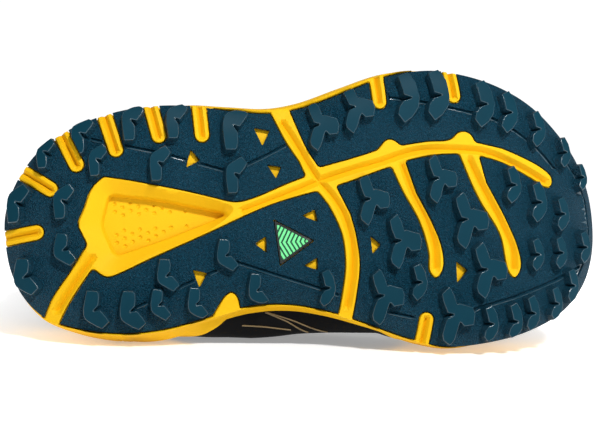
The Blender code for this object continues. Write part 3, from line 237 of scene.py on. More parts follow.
# The foam's side: along, footbed and rim heights as shares of FOAM_HEIGHT, bulges as shares of SIDE_BULGE
# and how far the rim is drawn in as a share of RIM_INSET
FOAM_SECTIONS = (
    # along, footbed, lateral rim, medial rim, lateral bulge, medial bulge, medial inset
    (0.00, 0.67, 1.00, 1.00, 0.10, 0.10, 1.00),
    (0.08, 0.64, 1.00, 1.00, 0.15, 0.20, 1.00),
    (0.14, 0.62, 0.97, 0.97, 0.20, 0.40, 1.00),
    (0.20, 0.61, 0.94, 0.95, 0.25, 0.60, 0.95),
    (0.26, 0.60, 0.90, 0.94, 0.40, 0.85, 0.70),
    (0.32, 0.60, 0.86, 0.93, 0.50, 1.00, 0.30),
    (0.38, 0.59, 0.83, 0.92, 0.50, 0.70, 0.00),
    (0.46, 0.57, 0.80, 0.89, 0.50, 0.30, -0.15),
    (0.55, 0.53, 0.76, 0.82, 0.45, 0.25, 0.20),
    (0.64, 0.49, 0.72, 0.75, 0.30, 0.15, 0.80),
    (0.74, 0.48, 0.71, 0.72, 0.15, 0.10, 1.00),
    (0.85, 0.55, 0.78, 0.78, 0.10, 0.10, 1.00),
    (0.94, 0.65, 0.89, 0.89, 0.10, 0.10, 1.00),
    (1.00, 0.73, 0.97, 0.97, 0.10, 0.10, 1.00),
)

# Rails of the upper, from the back of the heel to the toe. Lengths up are shares of COLLAR_HEIGHT, widths
# of the opening shares of THROAT_WIDTH, the two flares shares of SOLE_WIDTH
UPPER_RAILS = (
    # foot, top, half width, height, rise, lateral flare, medial flare, reach, drop, band foot, band top
    (0.000, 0.012, 0.00, 1.000, 0.26, 0.030, 0.030, 0.10, 0.20, 0.50, 0.82),
    (0.030, 0.028, 0.22, 0.975, 0.26, 0.030, 0.030, 0.10, 0.20, 0.50, 0.82),
    (0.070, 0.070, 0.37, 0.880, 0.24, 0.028, 0.036, 0.14, 0.18, 0.50, 0.80),
    (0.130, 0.125, 0.46, 0.770, 0.20, 0.028, 0.050, 0.20, 0.14, 0.46, 0.78),
    (0.200, 0.190, 0.49, 0.735, 0.16, 0.026, 0.080, 0.24, 0.10, 0.40, 0.78),
    (0.270, 0.255, 0.47, 0.790, 0.18, 0.024, 0.130, 0.30, 0.14, 0.30, 0.78),
    (0.345, 0.315, 0.40, 0.930, 0.20, 0.022, 0.185, 0.42, 0.24, 0.22, 0.76),
    (0.430, 0.365, 0.31, 0.975, 0.20, 0.018, 0.210, 0.52, 0.26, 0.18, 0.74),
    (0.530, 0.425, 0.27, 0.905, 0.19, 0.014, 0.180, 0.56, 0.22, 0.16, 0.74),
    (0.630, 0.480, 0.24, 0.835, 0.18, 0.010, 0.110, 0.56, 0.18, 0.18, 0.74),
    (0.730, 0.528, 0.21, 0.775, 0.17, 0.006, 0.040, 0.54, 0.14, 0.24, 0.76),
    (0.830, 0.567, 0.16, 0.730, 0.16, 0.004, 0.004, 0.52, 0.10, 0.30, 0.80),
    (0.920, 0.590, 0.09, 0.705, 0.15, 0.004, 0.004, 0.50, 0.07, 0.34, 0.84),
    (1.000, 0.600, 0.00, 0.695, 0.15, 0.004, 0.004, 0.50, 0.06, 0.36, 0.86),
)

RAIL_COLUMNS = (
    "foot", "top", "half", "height", "rise", "lateral", "medial", "reach", "drop", "band", "collar",
)

# Where the last's own axis runs: along, across
LAST_AXIS = ((0.0, -0.030), (0.2, -0.030), (0.35, -0.022), (0.5, -0.010), (0.62, 0.000), (1.0, -0.030))

# Points round the rubber's outline: for the rubber, for rough distances, for places on it, for the foam's
# side, for the last's feather line and for the insole
RUBBER_POINTS = 420
ROUGH_POINTS = 240
PLACE_POINTS = 1680
FOAM_POINTS = 520
LAST_POINTS = 480
INSOLE_POINTS = 240

# Where the tread's heel bevel ends, its waist starts and how far that runs, and where the toe spring starts,
# as shares along
BEVEL_END = 0.19
WAIST_START = 0.20
WAIST_RUN = 0.40
SPRING_START = 0.74

# Angles in degrees past which an edge is sharp
RUBBER_ANGLE = 32.0
FILM_ANGLE = 35.0
FOAM_ANGLE = 38.0
SOFT_ANGLE = 60.0
LACE_ANGLE = 75.0

# The rubber pads, in metres: steps along a border and between points of the base, corners rounded off in
# plan, the rounding of a border's edge with the rings that draw it, and what stays clear of it
EDGE_STEP = 0.0012
RUN_STEP = 0.0030
HOLE_STEP = 0.0015
BASE_GRID = 0.0036
PAD_CORNER = 0.0022
WINDOW_CORNER = 0.0007
INLAY_CORNER = 0.0009
EDGE_ROUND = 0.00040
EDGE_RINGS = (0.00012, 0.00040, 0.00050)
GRID_CLEAR = 0.0008
LINE_CLEAR = 0.0009
CROWDED = 0.00025

# Points round a slot's inner end, along each of its sides and along the arch notch
SLOT_ARC = 13
SLOT_SIDE = 5
NOTCH_POINTS = 33

# How much larger slots, windows and the inlay are than in the solids
SLOT_GROWTH = 1.14
WINDOW_GROWTH = 1.12
INLAY_GROWTH = 1.08

# Hook lugs: how much wider along the sole and how large beside their share, lateral (1) and medial (-1)
HOOK_SCALES = {1: (1.02, 0.88), -1: (1.22, 0.86)}

# A lug's flank: distances inside its outline in metres, and the share of LUG_DEPTH that it reaches there.
# Base points keep out of the zone between the two clears
LUG_RINGS = (-0.00112, -0.00092, -0.00072, -0.00005, 0.00008, 0.00022, 0.00034)
LUG_SHARES = (0.0, 0.015, 0.10, 0.945, 0.985, 1.0, 1.0)
LUG_CLEARS = (-0.0017, 0.0010)

# Lugs lean by this share from the tread's normal to the ground's, are trimmed all round, have their corners
# rounded and stay inside the sole's edge
LUG_UPRIGHT = 0.35
LUG_TRIM = 0.00030
LUG_CORNER = 0.00030
LUG_STEP = 0.0020
EDGE_MARGIN = 0.0007

# Fine moulded grooves and the bead beside each: points along one, distances from their middles with the
# share of the depth there, depth and height, in metres
GROOVE_POINTS = 40
LINE_RINGS = (0.00022, 0.00052, 0.00075)
LINE_SHARES = (1.0, 0.08, 0.0)
LINE_DEPTH = 0.0011
BEAD_AWAY = 0.00105
BEAD_RINGS = (0.0001, 0.0004)
BEAD_HEIGHT = 0.00035

# The foam strips between the pads: how far they stand out flush, their edge's shape as distances from the
# rubber in metres with the share of FLUSH there, the area in square metres under which a hole shows no
# strip, and the foam's grid with what stays clear of its edge
STRIP_PROUD = 0.0002
FLUSH = RUBBER_WALL + FIT_GAP + STRIP_PROUD
STRIP_RINGS = (0.00044, 0.00054, 0.00076, 0.00118, 0.00133)
STRIP_SHARES = (-0.7, 0.80, 0.95, 1.0, 1.0)
SMALL_HOLE = 0.0001
FOAM_STEP = 0.0022
FOAM_CLEAR = 0.0012

# The groove along a strip: depth, half width, a slot's width as a share of it, how much of a slot's width it
# stays short of the slot's end, and its section as shares of the half width and the depth
GROOVE_DEPTH = 0.0028
GROOVE_HALF = 0.0022
SLOT_GROOVE = 0.72
SLOT_SHORT = 0.52
GROOVE_RUN = (0.0, 0.82, 1.0)
GROOVE_SHARES = (1.0, 0.13, 0.0)
GROOVE_LINES = (-1.08, -1.0, -0.82, -0.4, 0.0, 0.4, 0.82, 1.0, 1.08)

# Windows through the rubber show foam this deep, and the foam behind them and the inlay is cut larger
WINDOW_DEPTH = 0.0028
WINDOW_MARGIN = 0.0010
INLAY_MARGIN = 1.3

# The heel recess: its floor's corners, rings round the floor, the share of the way in at which its wall
# steepens, how much of the depth that step takes, and the dimples' spacing, clear lane, radius and depth
RECESS_CORNER = 0.0030
RECESS_STEP = 0.0020
RECESS_RINGS = (0.0004, 0.0009, 0.0014, 0.0020)
RECESS_BREAK = 0.87
RECESS_DROP = 0.40
DIMPLE_ROW = ((0.160, -0.040), (0.345, -0.004))
DIMPLE_STEP = 0.0035
DIMPLE_CLEAR = 0.0022
DIMPLE_RADIUS = 0.00100
DIMPLE_DEPTH = 0.00085

# How far the foam's lower edge stands outside the rubber, as shares of SEAT_LIP: along, lateral, medial
LIP_SHARES = (
    (0.00, -0.8, -0.6), (0.05, -1.0, 0.2), (0.10, -1.3, 0.8), (0.20, -1.5, 1.0), (0.30, 0.1, 1.0),
    (0.40, 1.4, 1.0), (0.50, 1.7, 1.0), (0.60, 1.3, 0.9), (0.66, 0.4, 0.7), (0.72, -0.6, 0.5),
    (0.80, -0.9, -0.4), (1.00, -0.9, -0.9),
)

# Rings up the foam's side, the ring at which the dark film's field starts, and how medial a place is where
# it shows, from 0 to 1
SIDE_STEPS = 8
SIDE_RINGS = 5 * SIDE_STEPS + 1
FILM_RING = 2
FILM_SHARE = 0.9

# The foam's rim: how far back over it as shares of RIM_WALL, and its rise in metres
RIM_ROUND = ((0.15, 0.00030), (0.5, 0.00045), (0.85, 0.00030), (1.0, 0.0))

# How far the foam's medial side reaches from the sole's axis over the arch, in metres: along, reach
ARCH_REACH = ((0.30, 0.0560), (0.37, 0.0563), (0.42, 0.0555), (0.48, 0.0542), (0.59, 0.0541), (0.65, 0.0541))

# Where along the sole that reach starts, is full, is still full and ends
ARCH_RUN = (0.26, 0.31, 0.60, 0.66)

# The lower edge of the dark film over the arch: along, ring of the foam's side
FILM_EDGE = (
    (0.18, FILM_RING), (0.20, 36), (0.345, FILM_RING), (0.60, FILM_RING), (0.67, 36), (0.69, FILM_RING),
)

# Thin lines on that film: along, ring of the foam's side
FILM_LINES = (
    ((0.413, 2.5), (0.465, 8.0), (0.525, 15.0)), ((0.411, 2.5), (0.450, 8.0), (0.493, 15.0)),
    ((0.368, 8.0), (0.412, 10.0), (0.460, 12.5)),
)

# Thin lines on both sides of the upper, as shares along and up the rails
ARCH_LINES = (
    ((0.395, 0.010), (0.440, 0.090), (0.490, 0.180), (0.545, 0.270), (0.600, 0.350)),
    ((0.410, 0.010), (0.465, 0.070), (0.525, 0.130), (0.590, 0.200), (0.655, 0.260)),
    ((0.250, 0.060), (0.330, 0.110), (0.420, 0.170), (0.490, 0.240), (0.550, 0.330)),
)

# The inlay: its size as a share of its window's, its corners and steps in metres, and its section from its
# back to its light face as the share of its outline and the height over its seat in metres
INLAY_FIT = 0.95
INLAY_ROUND = 0.0012
INLAY_STEP = 0.0020
INLAY_RINGS = (
    (1.0, 0.0), (1.0, INLAY_WALL - 0.0002), (0.975, INLAY_WALL), (0.825, INLAY_WALL),
    (0.815, INLAY_WALL - 0.00015),
)

# The insole's grid in metres, and its section from its lower edge inwards as the distance in from the edge
# in metres and the share of INSOLE_WALL
INSOLE_GRID = 0.005
INSOLE_RINGS = ((0.0, 0.6), (0.0005, 0.85), (0.0015, 1.0), (0.004, 1.0), (0.012, 0.94))

# How finely the upper is cut: rails round it, rows up it, and the width of a band's edge as a share of a rail
RAILS = 320
HALF_RAILS = RAILS // 2
RAIL_ROWS = 121
BAND_EDGE = 0.012

# Where the collar is padded: along with a share, and up the rails with a share
PADDED_ALONG = ((0.0, 0.24, 0.33), (1.0, 1.0, 0.0))
PADDED_UP = ((-1, 0.45, 0.80, 0.97, 1.0), (0, 0, 1.0, 0.9, 0.5))

# Stitches: how far from a band's edge they run and where the top row runs as shares of a rail, where that
# row starts along the rails, and length, gap, width and height in metres
STITCH_AWAY = 0.045
STITCH_TOP = 0.975
STITCH_FRONT = 0.36
STITCH_LENGTH = 0.0022
STITCH_GAP = 0.0011
STITCH_SECTION = (0.0006, 0.0005)

# Sections of the thin lines, in metres: width, height and how far they stand off the upper. Tubes have this
# many sides
ARCH_LINE_SECTION = (0.0011, 0.0008)
FILM_LINE_SECTION = (0.0010, 0.0007)
ARCH_LINE_PROUD = 0.0001
TUBE_SIDES = 8

# The tongue: the part of the rails that it hangs from, up them and along them, the share by which its top
# narrows, which way the top leans, its quilting's depth and turns, and its rim across and at the front
TONGUE_SHARES = (0.84, 1.0)
TONGUE_RUN = (0.39, 0.965)
TONGUE_NARROW = 0.54
TONGUE_LEAN = (-0.9, 0, 1.0)
TONGUE_PUFF = 0.0012
TONGUE_SUNK = 0.0004
QUILT_TURN = 60
TONGUE_EDGE = 0.10
TONGUE_FRONT = 0.05

# The lace: steps along a strip, how far it reaches past the throat's edge in metres, its lowest height and
# the dip at its ends as shares of LACE_WALL, and how much of a strip the crossing and an end take up
LACE_STEPS = 44
LACE_REACH = 0.0045
LACE_LOW = 0.55
LACE_DIP = 1.6
LACE_CROSS = 0.20
LACE_END = 0.05

# Eyelet rings: radius and thickness in metres, how far up from the lace hole's row, and the step along the
# rails that gives their way
EYELET_RADIUS = 0.0030
EYELET_WIRE = 0.0008
EYELET_UP = 0.02
EYELET_AHEAD = 0.004

# The lights, in metres and watts: place, size, power. Both aim at one point
LIGHT_AIM = (0.0, 0.0, 0.06)
KEY_LIGHT = ((0.20, -0.78, 0.84), (0.15, 0.15), 12.5)
RIM_LIGHT = ((0.95, -0.35, 0.30), (0.20, 0.50), 1.5)

# How bright the world is on the sole's side and beyond the shoe, and how much the floor glows beside the
# shoe and away from it, with the distances in metres between which it changes and how much each way counts
# in them. That glow is painted light that lifts the shoe's shadows on the floor away from the shoe. The
# floor's size and how far it lies under the shoe are in metres too
FLOOR_SIZE = 12.0
FLOOR_DROP = 0.0002
WORLD_GLOW = (0.16, 1.05)
WORLD_RUN = (0.55, 0.90)
FLOOR_GLOW = (0.30, 0.85)
FLOOR_RUN = (0.09, 0.17)
FLOOR_SQUEEZE = (1.0, 0.35, 0.0)

# Lug tops, as shares of a lug's length: forward, lateral
LUG_TOPS = {
    "fork": (
        (-0.262, 0.372), (-0.130, 0.494), (-0.090, 0.462), (-0.038, 0.357), (0.012, 0.205), (0.030, 0.224),
        (0.280, 0.162), (0.318, 0.036), (0.292, -0.130), (0.120, -0.158), (0.057, -0.089), (0.030, -0.175),
        (-0.020, -0.346), (-0.094, -0.473), (-0.222, -0.365), (-0.250, -0.270), (-0.205, -0.099),
        (-0.165, -0.018), (-0.050, 0.034), (-0.165, 0.058), (-0.232, 0.224),
    ),
    "bow": (
        (-0.170, 0.360), (0.020, 0.460), (0.150, 0.252), (0.205, -0.010), (0.180, -0.183), (0.075, -0.342),
        (-0.075, -0.460), (-0.200, -0.299), (-0.170, -0.154), (-0.085, -0.050), (0.060, -0.003),
        (-0.085, 0.036), (-0.125, 0.194),
    ),
    "hook": (
        (-0.292, 0.138), (-0.246, 0.253), (-0.169, 0.325), (0.015, 0.449), (0.154, 0.531), (0.326, 0.318),
        (0.246, 0.171), (0.107, -0.015), (-0.050, 0.026), (0.066, -0.125), (0.080, -0.354), (0.061, -0.485),
        (0.015, -0.540), (-0.230, -0.551), (-0.264, -0.354), (-0.300, -0.059),
    ),
}

# Fine grooves moulded into the rubber: along, across
RUBBER_LINES = (
    ((0.135, 0.258), (0.158, 0.246)),
    ((0.185, 0.237), (0.229, 0.219), (0.255, 0.207), (0.302, 0.181), (0.345, 0.157)),
    ((0.376, 0.180), (0.410, 0.220), (0.447, 0.266)),
    ((0.202, -0.340), (0.223, -0.319)),
    ((0.273, -0.264), (0.329, -0.206)),
    ((0.363, -0.173), (0.401, -0.200), (0.461, -0.241), (0.501, -0.269), (0.525, -0.290)),
    ((0.604, 0.446), (0.649, 0.438), (0.694, 0.422), (0.733, 0.406), (0.788, 0.380), (0.833, 0.333),
     (0.872, 0.276), (0.905, 0.205)),
    ((0.925, 0.255), (0.955, 0.175), (0.974, 0.085), (0.981, -0.035), (0.972, -0.140), (0.950, -0.222)),
    ((0.610, -0.353), (0.646, -0.370)),
    ((0.737, -0.367), (0.754, -0.339), (0.828, -0.292), (0.907, -0.226), (0.952, -0.179)),
)


def sole_point(along, across):
    """Shares of the sole as plan coordinates, with the medial side at +y."""
    return np.array((along * SOLE_LENGTH, -across * SOLE_WIDTH))


def plan(rows):
    """Rows of along and across as an array of plan coordinates."""
    return np.array([sole_point(*row) for row in rows])


def smooth_run(points, closed=False, steps=8):
    """A centripetal Catmull-Rom curve through the points."""
    pts = np.asarray(points, float)
    if len(pts) < 3 and not closed:
        return pts
    if closed:
        pts = np.vstack([pts[-1], pts, pts[:2]])
    else:
        pts = np.vstack([2 * pts[0] - pts[1], pts, 2 * pts[-1] - pts[-2]])
    out = []
    for p0, p1, p2, p3 in zip(pts, pts[1:], pts[2:], pts[3:]):
        gaps = [max(np.linalg.norm(b - a), 1e-9) ** 0.5 for a, b in ((p0, p1), (p1, p2), (p2, p3))]
        knots = np.cumsum([0.0] + gaps)
        t = np.linspace(knots[1], knots[2], steps, endpoint=False)[:, None]
        a1 = ((knots[1] - t) * p0 + (t - knots[0]) * p1) / (knots[1] - knots[0])
        a2 = ((knots[2] - t) * p1 + (t - knots[1]) * p2) / (knots[2] - knots[1])
        a3 = ((knots[3] - t) * p2 + (t - knots[2]) * p3) / (knots[3] - knots[2])
        b1 = ((knots[2] - t) * a1 + (t - knots[0]) * a2) / (knots[2] - knots[0])
        b2 = ((knots[3] - t) * a2 + (t - knots[1]) * a3) / (knots[3] - knots[1])
        out.append(((knots[2] - t) * b1 + (t - knots[1]) * b2) / (knots[2] - knots[1]))
    curve = np.vstack(out)
    return curve if closed else np.vstack([curve, pts[-2]])


def spaced(curve, count, closed=False):
    """The curve again as that many points at even steps of its length."""
    pts = np.vstack([curve, curve[:1]]) if closed else np.asarray(curve)
    run = np.concatenate([[0.0], np.cumsum(np.linalg.norm(np.diff(pts, axis=0), axis=1))])
    stops = np.linspace(0.0, run[-1], count, endpoint=not closed)
    return np.stack([np.interp(stops, run, pts[:, k]) for k in range(pts.shape[1])], axis=1)


def column(table, at, index):
    """One column of a table, read smoothly at other values of its first column."""
    curve = smooth_run(np.array(table, float)[:, [0, index]])
    return np.interp(at, curve[:, 0], curve[:, 1])


def slot_loop(row, half_width):
    """A straight slot with a round inner end."""
    mouth, tip = plan((row[:2], row[2:]))
    way = (tip - mouth) / np.linalg.norm(tip - mouth)
    side = np.array((-way[1], way[0])) * half_width
    centre = tip - way * half_width
    turns = np.linspace(0, math.pi, SLOT_ARC)
    arc = [centre + side * math.cos(a) + way * half_width * math.sin(a) for a in turns]
    near = spaced(np.array([mouth + side, arc[0]]), SLOT_SIDE)
    far = spaced(np.array([arc[-1], mouth - side]), SLOT_SIDE)
    return np.vstack([near, arc[1:-1], far])


def line_distance(points, line, size=1500):
    """How far each plan point lies from a line of points, a few points at a time to spare memory."""
    start, way = line[:-1], np.diff(line, axis=0)
    length = (way * way).sum(1)
    found = [np.zeros(0)]
    for k in range(0, len(points), size):
        rel = points[k:k + size, None, :] - start[None]
        t = np.clip((rel * way).sum(2) / length, 0, 1)
        found.append(np.linalg.norm(rel - t[..., None] * way, axis=2).min(1))
    return np.concatenate(found)


def nearest_line(points, lines):
    """How far each plan point lies from the nearest of several lines."""
    return np.min([line_distance(points, line) for line in lines], axis=0)


def rise(along):
    """How far the tread's base lifts off the ground lengthwise: heel bevel, arch and toe spring."""
    heel = HEEL_BEVEL * np.clip((BEVEL_END - along) / BEVEL_END, 0, 1) ** 2.2
    arch = ARCH_RISE * np.sin(math.pi * np.clip((along - WAIST_START) / WAIST_RUN, 0, 1)) ** 2
    toe = TOE_SPRING * np.clip((along - SPRING_START) / (1 - SPRING_START), 0, 1.05) ** 1.9
    return heel + arch + toe


def inside(loop, points):
    """Which points lie in the closed loop."""
    hit = np.zeros(len(points), bool)
    x, y = points[:, 0], points[:, 1]
    for (x1, y1), (x2, y2) in zip(loop, np.roll(loop, -1, 0)):
        crosses = (y1 > y) != (y2 > y)
        at = (x2 - x1) * (y - y1) / (y2 - y1 if y2 != y1 else 1e-12) + x1
        hit ^= crosses & (x < at)
    return hit


def grid_points(spacing):
    """A staggered grid over the sole's plan."""
    rows = np.arange(-0.6 * SOLE_WIDTH, 0.6 * SOLE_WIDTH, spacing * 0.87)
    found = [
        (x + (spacing / 2 if k % 2 else 0), y)
        for k, y in enumerate(rows)
        for x in np.arange(0, SOLE_LENGTH, spacing)
    ]
    return np.array(found)


def triangulate(loops, lines=(), extra=()):
    """Triangles over the plan with every loop and line as edges. Gives points, triangles, and for each
    triangle the loops that hold it."""
    points, edges, faces = [], [], []
    for loop in loops:
        start = len(points)
        points += [Vector(p) for p in loop]
        faces.append(list(range(start, len(points)))[:: 1 if area(loop) > 0 else -1])
    for line in lines:
        start = len(points)
        points += [Vector(p) for p in line]
        edges += [(k, k + 1) for k in range(start, len(points) - 1)]
    points += [Vector(p) for p in extra]
    verts, _, tris, _, _, held = delaunay_2d_cdt(points, edges, faces, 1, 1e-7)
    return np.array([tuple(v) for v in verts]), np.array(tris), [set(h) for h in held]


def boundary(triangles):
    """Directed edges that only one triangle has."""
    seen = dict.fromkeys(edge for a, b, c in triangles for edge in ((a, b), (b, c), (c, a)))
    return [edge for edge in seen if edge[::-1] not in seen]


def area(loop):
    """Signed area of a closed plan loop, positive where it turns left."""
    x, y = loop[:, 0], loop[:, 1]
    return 0.5 * (x * np.roll(y, -1) - np.roll(x, -1) * y).sum()


def ordered_loops(edges):
    """Directed edges as loops of vertex indices."""
    after, loops = dict(edges), []
    while after:
        start, nxt = after.popitem()
        loop = [start]
        while nxt != start:
            loop.append(nxt)
            nxt = after.pop(nxt)
        loops.append(loop)
    return loops


def outward(loop):
    """Unit normals of a closed plan loop, pointing out of it."""
    ahead = np.roll(loop, -1, 0) - np.roll(loop, 1, 0)
    side = np.column_stack([ahead[:, 1], -ahead[:, 0]]) * np.sign(area(loop))
    return side / np.linalg.norm(side, axis=1)[:, None]


def medial_share(loop):
    """0 on the lateral side of the last's axis, 1 on the medial side, for each point of a plan loop."""
    axis = -column(LAST_AXIS, loop[:, 0] / SOLE_LENGTH, 1) * SOLE_WIDTH
    return 0.5 + 0.5 * np.clip((loop[:, 1] - axis) / (0.12 * SOLE_WIDTH), -1, 1)


def side_values(loop, lateral, medial, table=FOAM_SECTIONS):
    """A table's lateral or medial column at each point of a plan loop, blended across the axis."""
    along = loop[:, 0] / SOLE_LENGTH
    share = medial_share(loop)
    return column(table, along, lateral) * (1 - share) + column(table, along, medial) * share


def rim_inset(loop):
    """How far the rim's outer edge lies inside the rubber's outline at each point of it."""
    share = medial_share(loop)
    return RIM_INSET * (1 - share + share * column(FOAM_SECTIONS, loop[:, 0] / SOLE_LENGTH, 6))


def foam_seat(points):
    """Height of the foam's underside, where the rubber is glued."""
    return tread_height(points) + RUBBER_WALL + FIT_GAP


def footbed(points):
    """Height of the foam's upper face, inside its rim."""
    return column(FOAM_SECTIONS, points[:, 0] / SOLE_LENGTH, 1) * FOAM_HEIGHT


def rounded(loop, radius, step, arc=4):
    """A closed loop with its corners rounded off and its long sides divided."""
    out = []
    for before, here, after in zip(np.roll(loop, 1, 0), loop, np.roll(loop, -1, 0)):
        back, ahead = before - here, after - here
        reach = np.linalg.norm(back), np.linalg.norm(ahead)
        if min(reach) < 1e-7:
            continue
        turn = math.acos(np.clip(np.dot(back, ahead) / (reach[0] * reach[1]), -1, 1))
        if turn > math.radians(165):
            out.append(here)
            continue
        cut = min(radius, 0.42 * reach[0], 0.42 * reach[1])
        start, end = here + back / reach[0] * cut, here + ahead / reach[1] * cut
        for t in np.linspace(0, 1, arc):
            out.append((1 - t) ** 2 * start + 2 * t * (1 - t) * here + t * t * end)
    out = np.array(out)
    fine = []
    for a, b in zip(out, np.roll(out, -1, 0)):
        count = max(1, int(round(np.linalg.norm(b - a) / step)))
        fine += [a + (b - a) * k / count for k in range(count)]
    return np.array(fine)


def grown(loop, reach):
    """A closed plan loop pushed out by a reach, or in by a negative one."""
    return loop + outward(loop) * reach


def closed_line(loop):
    """A closed loop as a line that ends where it starts."""
    return np.vstack([loop, loop[:1]])


@functools.lru_cache(maxsize=None)
def outline(count=RUBBER_POINTS):
    """The rubber's outer edge in plan."""
    return spaced(smooth_run(plan(OUTLINE), closed=True, steps=14), count, closed=True)


def edge_distance(points):
    """How far each plan point lies inside the rubber's outline."""
    return line_distance(points, closed_line(outline(ROUGH_POINTS)))


def tread_height(points):
    """Height of the rubber's base, the face that the lugs stand on."""
    rim = RIM_RISE * np.clip(1 - edge_distance(points) / RIM_WIDTH, 0, 1) ** 2
    return LUG_DEPTH + rise(points[:, 0] / SOLE_LENGTH) + rim


def pad_border(runs):
    """The pad's border as one loop of smooth runs with rounded corners."""
    ends = []
    for run in runs:
        curve = smooth_run(plan(run))
        length = np.linalg.norm(np.diff(curve, axis=0), axis=1).sum()
        ends.append(spaced(curve, max(2, int(round(length / RUN_STEP)) + 1)) if length else curve)
    return rounded(np.vstack(ends), PAD_CORNER, EDGE_STEP)


def lug_loops():
    """The outlines of the lugs' ground faces in plan."""
    made = []
    for shape, along, across, share, flip in LUGS:
        spread, scale = HOOK_SCALES[flip] if shape == "hook" else (1.0, 1.0)
        size = share * LUG_LENGTH * scale
        centre = sole_point(along, across)
        loop = np.array([centre + np.array((x * spread, -y * flip)) * size for x, y in LUG_TOPS[shape]])
        loop = rounded(loop if area(loop) > 0 else loop[::-1], LUG_CORNER, LUG_STEP, 3)
        made.append(kept_inside(grown(loop, -LUG_TRIM)))
    return made


def kept_inside(loop):
    """The loop with any part beyond the sole's edge drawn back inside it."""
    base, out = edge_frame(loop)
    beyond = np.clip(((loop - base) * out).sum(1) + EDGE_MARGIN, 0, None)
    return loop - out * beyond[:, None]


@functools.lru_cache(maxsize=None)
def pad_loops(name):
    """The borders of a rubber pad: its own one first, then those of the holes in it. Each turns so that the
    rubber lies on its left."""
    pad = pad_border(PADS[name])
    cuts = [slot_loop(row, SLOT_GROWTH * SLOT_WIDTH / 2) for row in SLOTS]
    cuts.append(spaced(smooth_run(plan(ARCH_NOTCH)), NOTCH_POINTS))
    cuts += [rounded(window_loop(row), WINDOW_CORNER, HOLE_STEP) for row in WINDOWS]
    cuts.append(rounded(scaled(plan(INLAY), INLAY_GROWTH), INLAY_CORNER, HOLE_STEP))
    cuts = [c for c in cuts if inside(pad, c).any()]
    points, triangles, held = triangulate([outline(), pad] + cuts)
    ids = set(range(2, 2 + len(cuts)))
    kept = [triangles[k] for k, h in enumerate(held) if {0, 1} <= h and not h & ids]
    loops = [points[loop] for loop in ordered_loops(boundary(kept))]
    loops = [even_loop(loop) for loop in loops if len(loop) > 3]
    return sorted(loops, key=lambda loop: -area(loop))


def window_loop(row):
    """A window's corners, a little larger than in the solid."""
    return scaled(plan(row), WINDOW_GROWTH)


def even_loop(loop):
    """The loop without the points that crowd together where two borders cross."""
    gap = np.linalg.norm(np.roll(loop, -1, 0) - loop, axis=1)
    return loop[gap > CROWDED]


def pad_distance(points, name):
    """How far plan points lie from a pad's border, positive inside the rubber."""
    loops = pad_loops(name)
    gap = nearest_line(points, [closed_line(loop) for loop in loops])
    return np.where(in_rubber(points, loops), gap, -gap)


def in_rubber(points, loops):
    """Which plan points lie in a pad and in none of its holes."""
    held = inside(loops[0], points)
    for loop in loops[1:]:
        held &= ~inside(loop, points)
    return held


def lug_distance(points, lugs):
    """How far plan points lie inside the nearest lug's outline, negative outside."""
    best = np.full(len(points), -1.0)
    for lug in lugs:
        near = np.linalg.norm(points - lug.mean(0), axis=1) < 0.9 * LUG_LENGTH
        if near.any():
            gap = line_distance(points[near], closed_line(lug))
            signed = np.where(inside(lug, points[near]), gap, -gap)
            best[near] = np.maximum(best[near], signed)
    return best


def rubber_surface(points, name, lugs):
    """How far a pad's tread face lies in at its rounded border and fine grooves, how far it stands proud at
    lugs and beads, and the share of a bead's height at each point."""
    inner = np.clip(pad_distance(points, name), 0, EDGE_ROUND)
    drop = EDGE_ROUND - np.sqrt(np.clip(EDGE_ROUND ** 2 - (EDGE_ROUND - inner) ** 2, 0, None))
    proud = LUG_DEPTH * np.interp(lug_distance(points, lugs), LUG_RINGS, LUG_SHARES)
    flat = proud < 0.02 * LUG_DEPTH
    lines = [plan(row) for row in RUBBER_LINES]
    beads = [beside(line, BEAD_AWAY) for line in lines]
    sunk = LINE_DEPTH * np.interp(nearest_line(points, lines), LINE_RINGS, LINE_SHARES) * flat
    bead = np.interp(nearest_line(points, beads), BEAD_RINGS, (1.0, 0.0)) * flat * (inner >= 0.9 * EDGE_ROUND)
    return drop + sunk, proud + BEAD_HEIGHT * bead, bead


def make_mesh(name, points, faces, finishes, face_finish=None, angle=SOFT_ANGLE, uv=None):
    """A mesh object made in the shoe's frame and laid down as the solids lie. face_finish gives each face's
    material, and angle is the one past which an edge is sharp."""
    mesh = bpy.data.meshes.new(name)
    mesh.from_pydata(np.asarray(points, float).tolist(), [], [tuple(int(v) for v in f) for f in faces])
    for finish in finishes:
        mesh.materials.append(finish)
    if face_finish is not None:
        mesh.polygons.foreach_set("material_index", np.asarray(face_finish, dtype=np.int32))
    if uv is not None:
        layer = mesh.uv_layers.new(name="UVMap")
        corners = np.zeros(len(mesh.loops), dtype=np.int32)
        mesh.loops.foreach_get("vertex_index", corners)
        layer.data.foreach_set("uv", np.asarray(uv, np.float32)[corners].ravel())
    mesh.validate()
    shape = bmesh.new()
    shape.from_mesh(mesh)
    loose = [v for v in shape.verts if not v.link_faces]
    bmesh.ops.delete(shape, geom=loose, context="VERTS")
    bmesh.ops.recalc_face_normals(shape, faces=shape.faces)
    shape.transform(lying_matrix())
    shape.to_mesh(mesh)
    shape.free()
    mesh.shade_smooth()
    mesh.set_sharp_from_angle(angle=math.radians(angle))
    made = bpy.data.objects.new(name, mesh)
    bpy.context.scene.collection.objects.link(made)
    return made


def settle(piece, slot, *nodes):
    """The piece rides on the shoe's one body and stands for its solids, which it hides. slot is not used."""
    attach(piece, "root")
    if nodes:
        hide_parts(*nodes)


def lying_matrix():
    """The turn and place that lay the standing shoe on its side."""
    turn = Euler([math.radians(a) for a in LYING_TURN], "XYZ").to_matrix().to_4x4()
    return Matrix.Translation(LYING_PLACE) @ turn


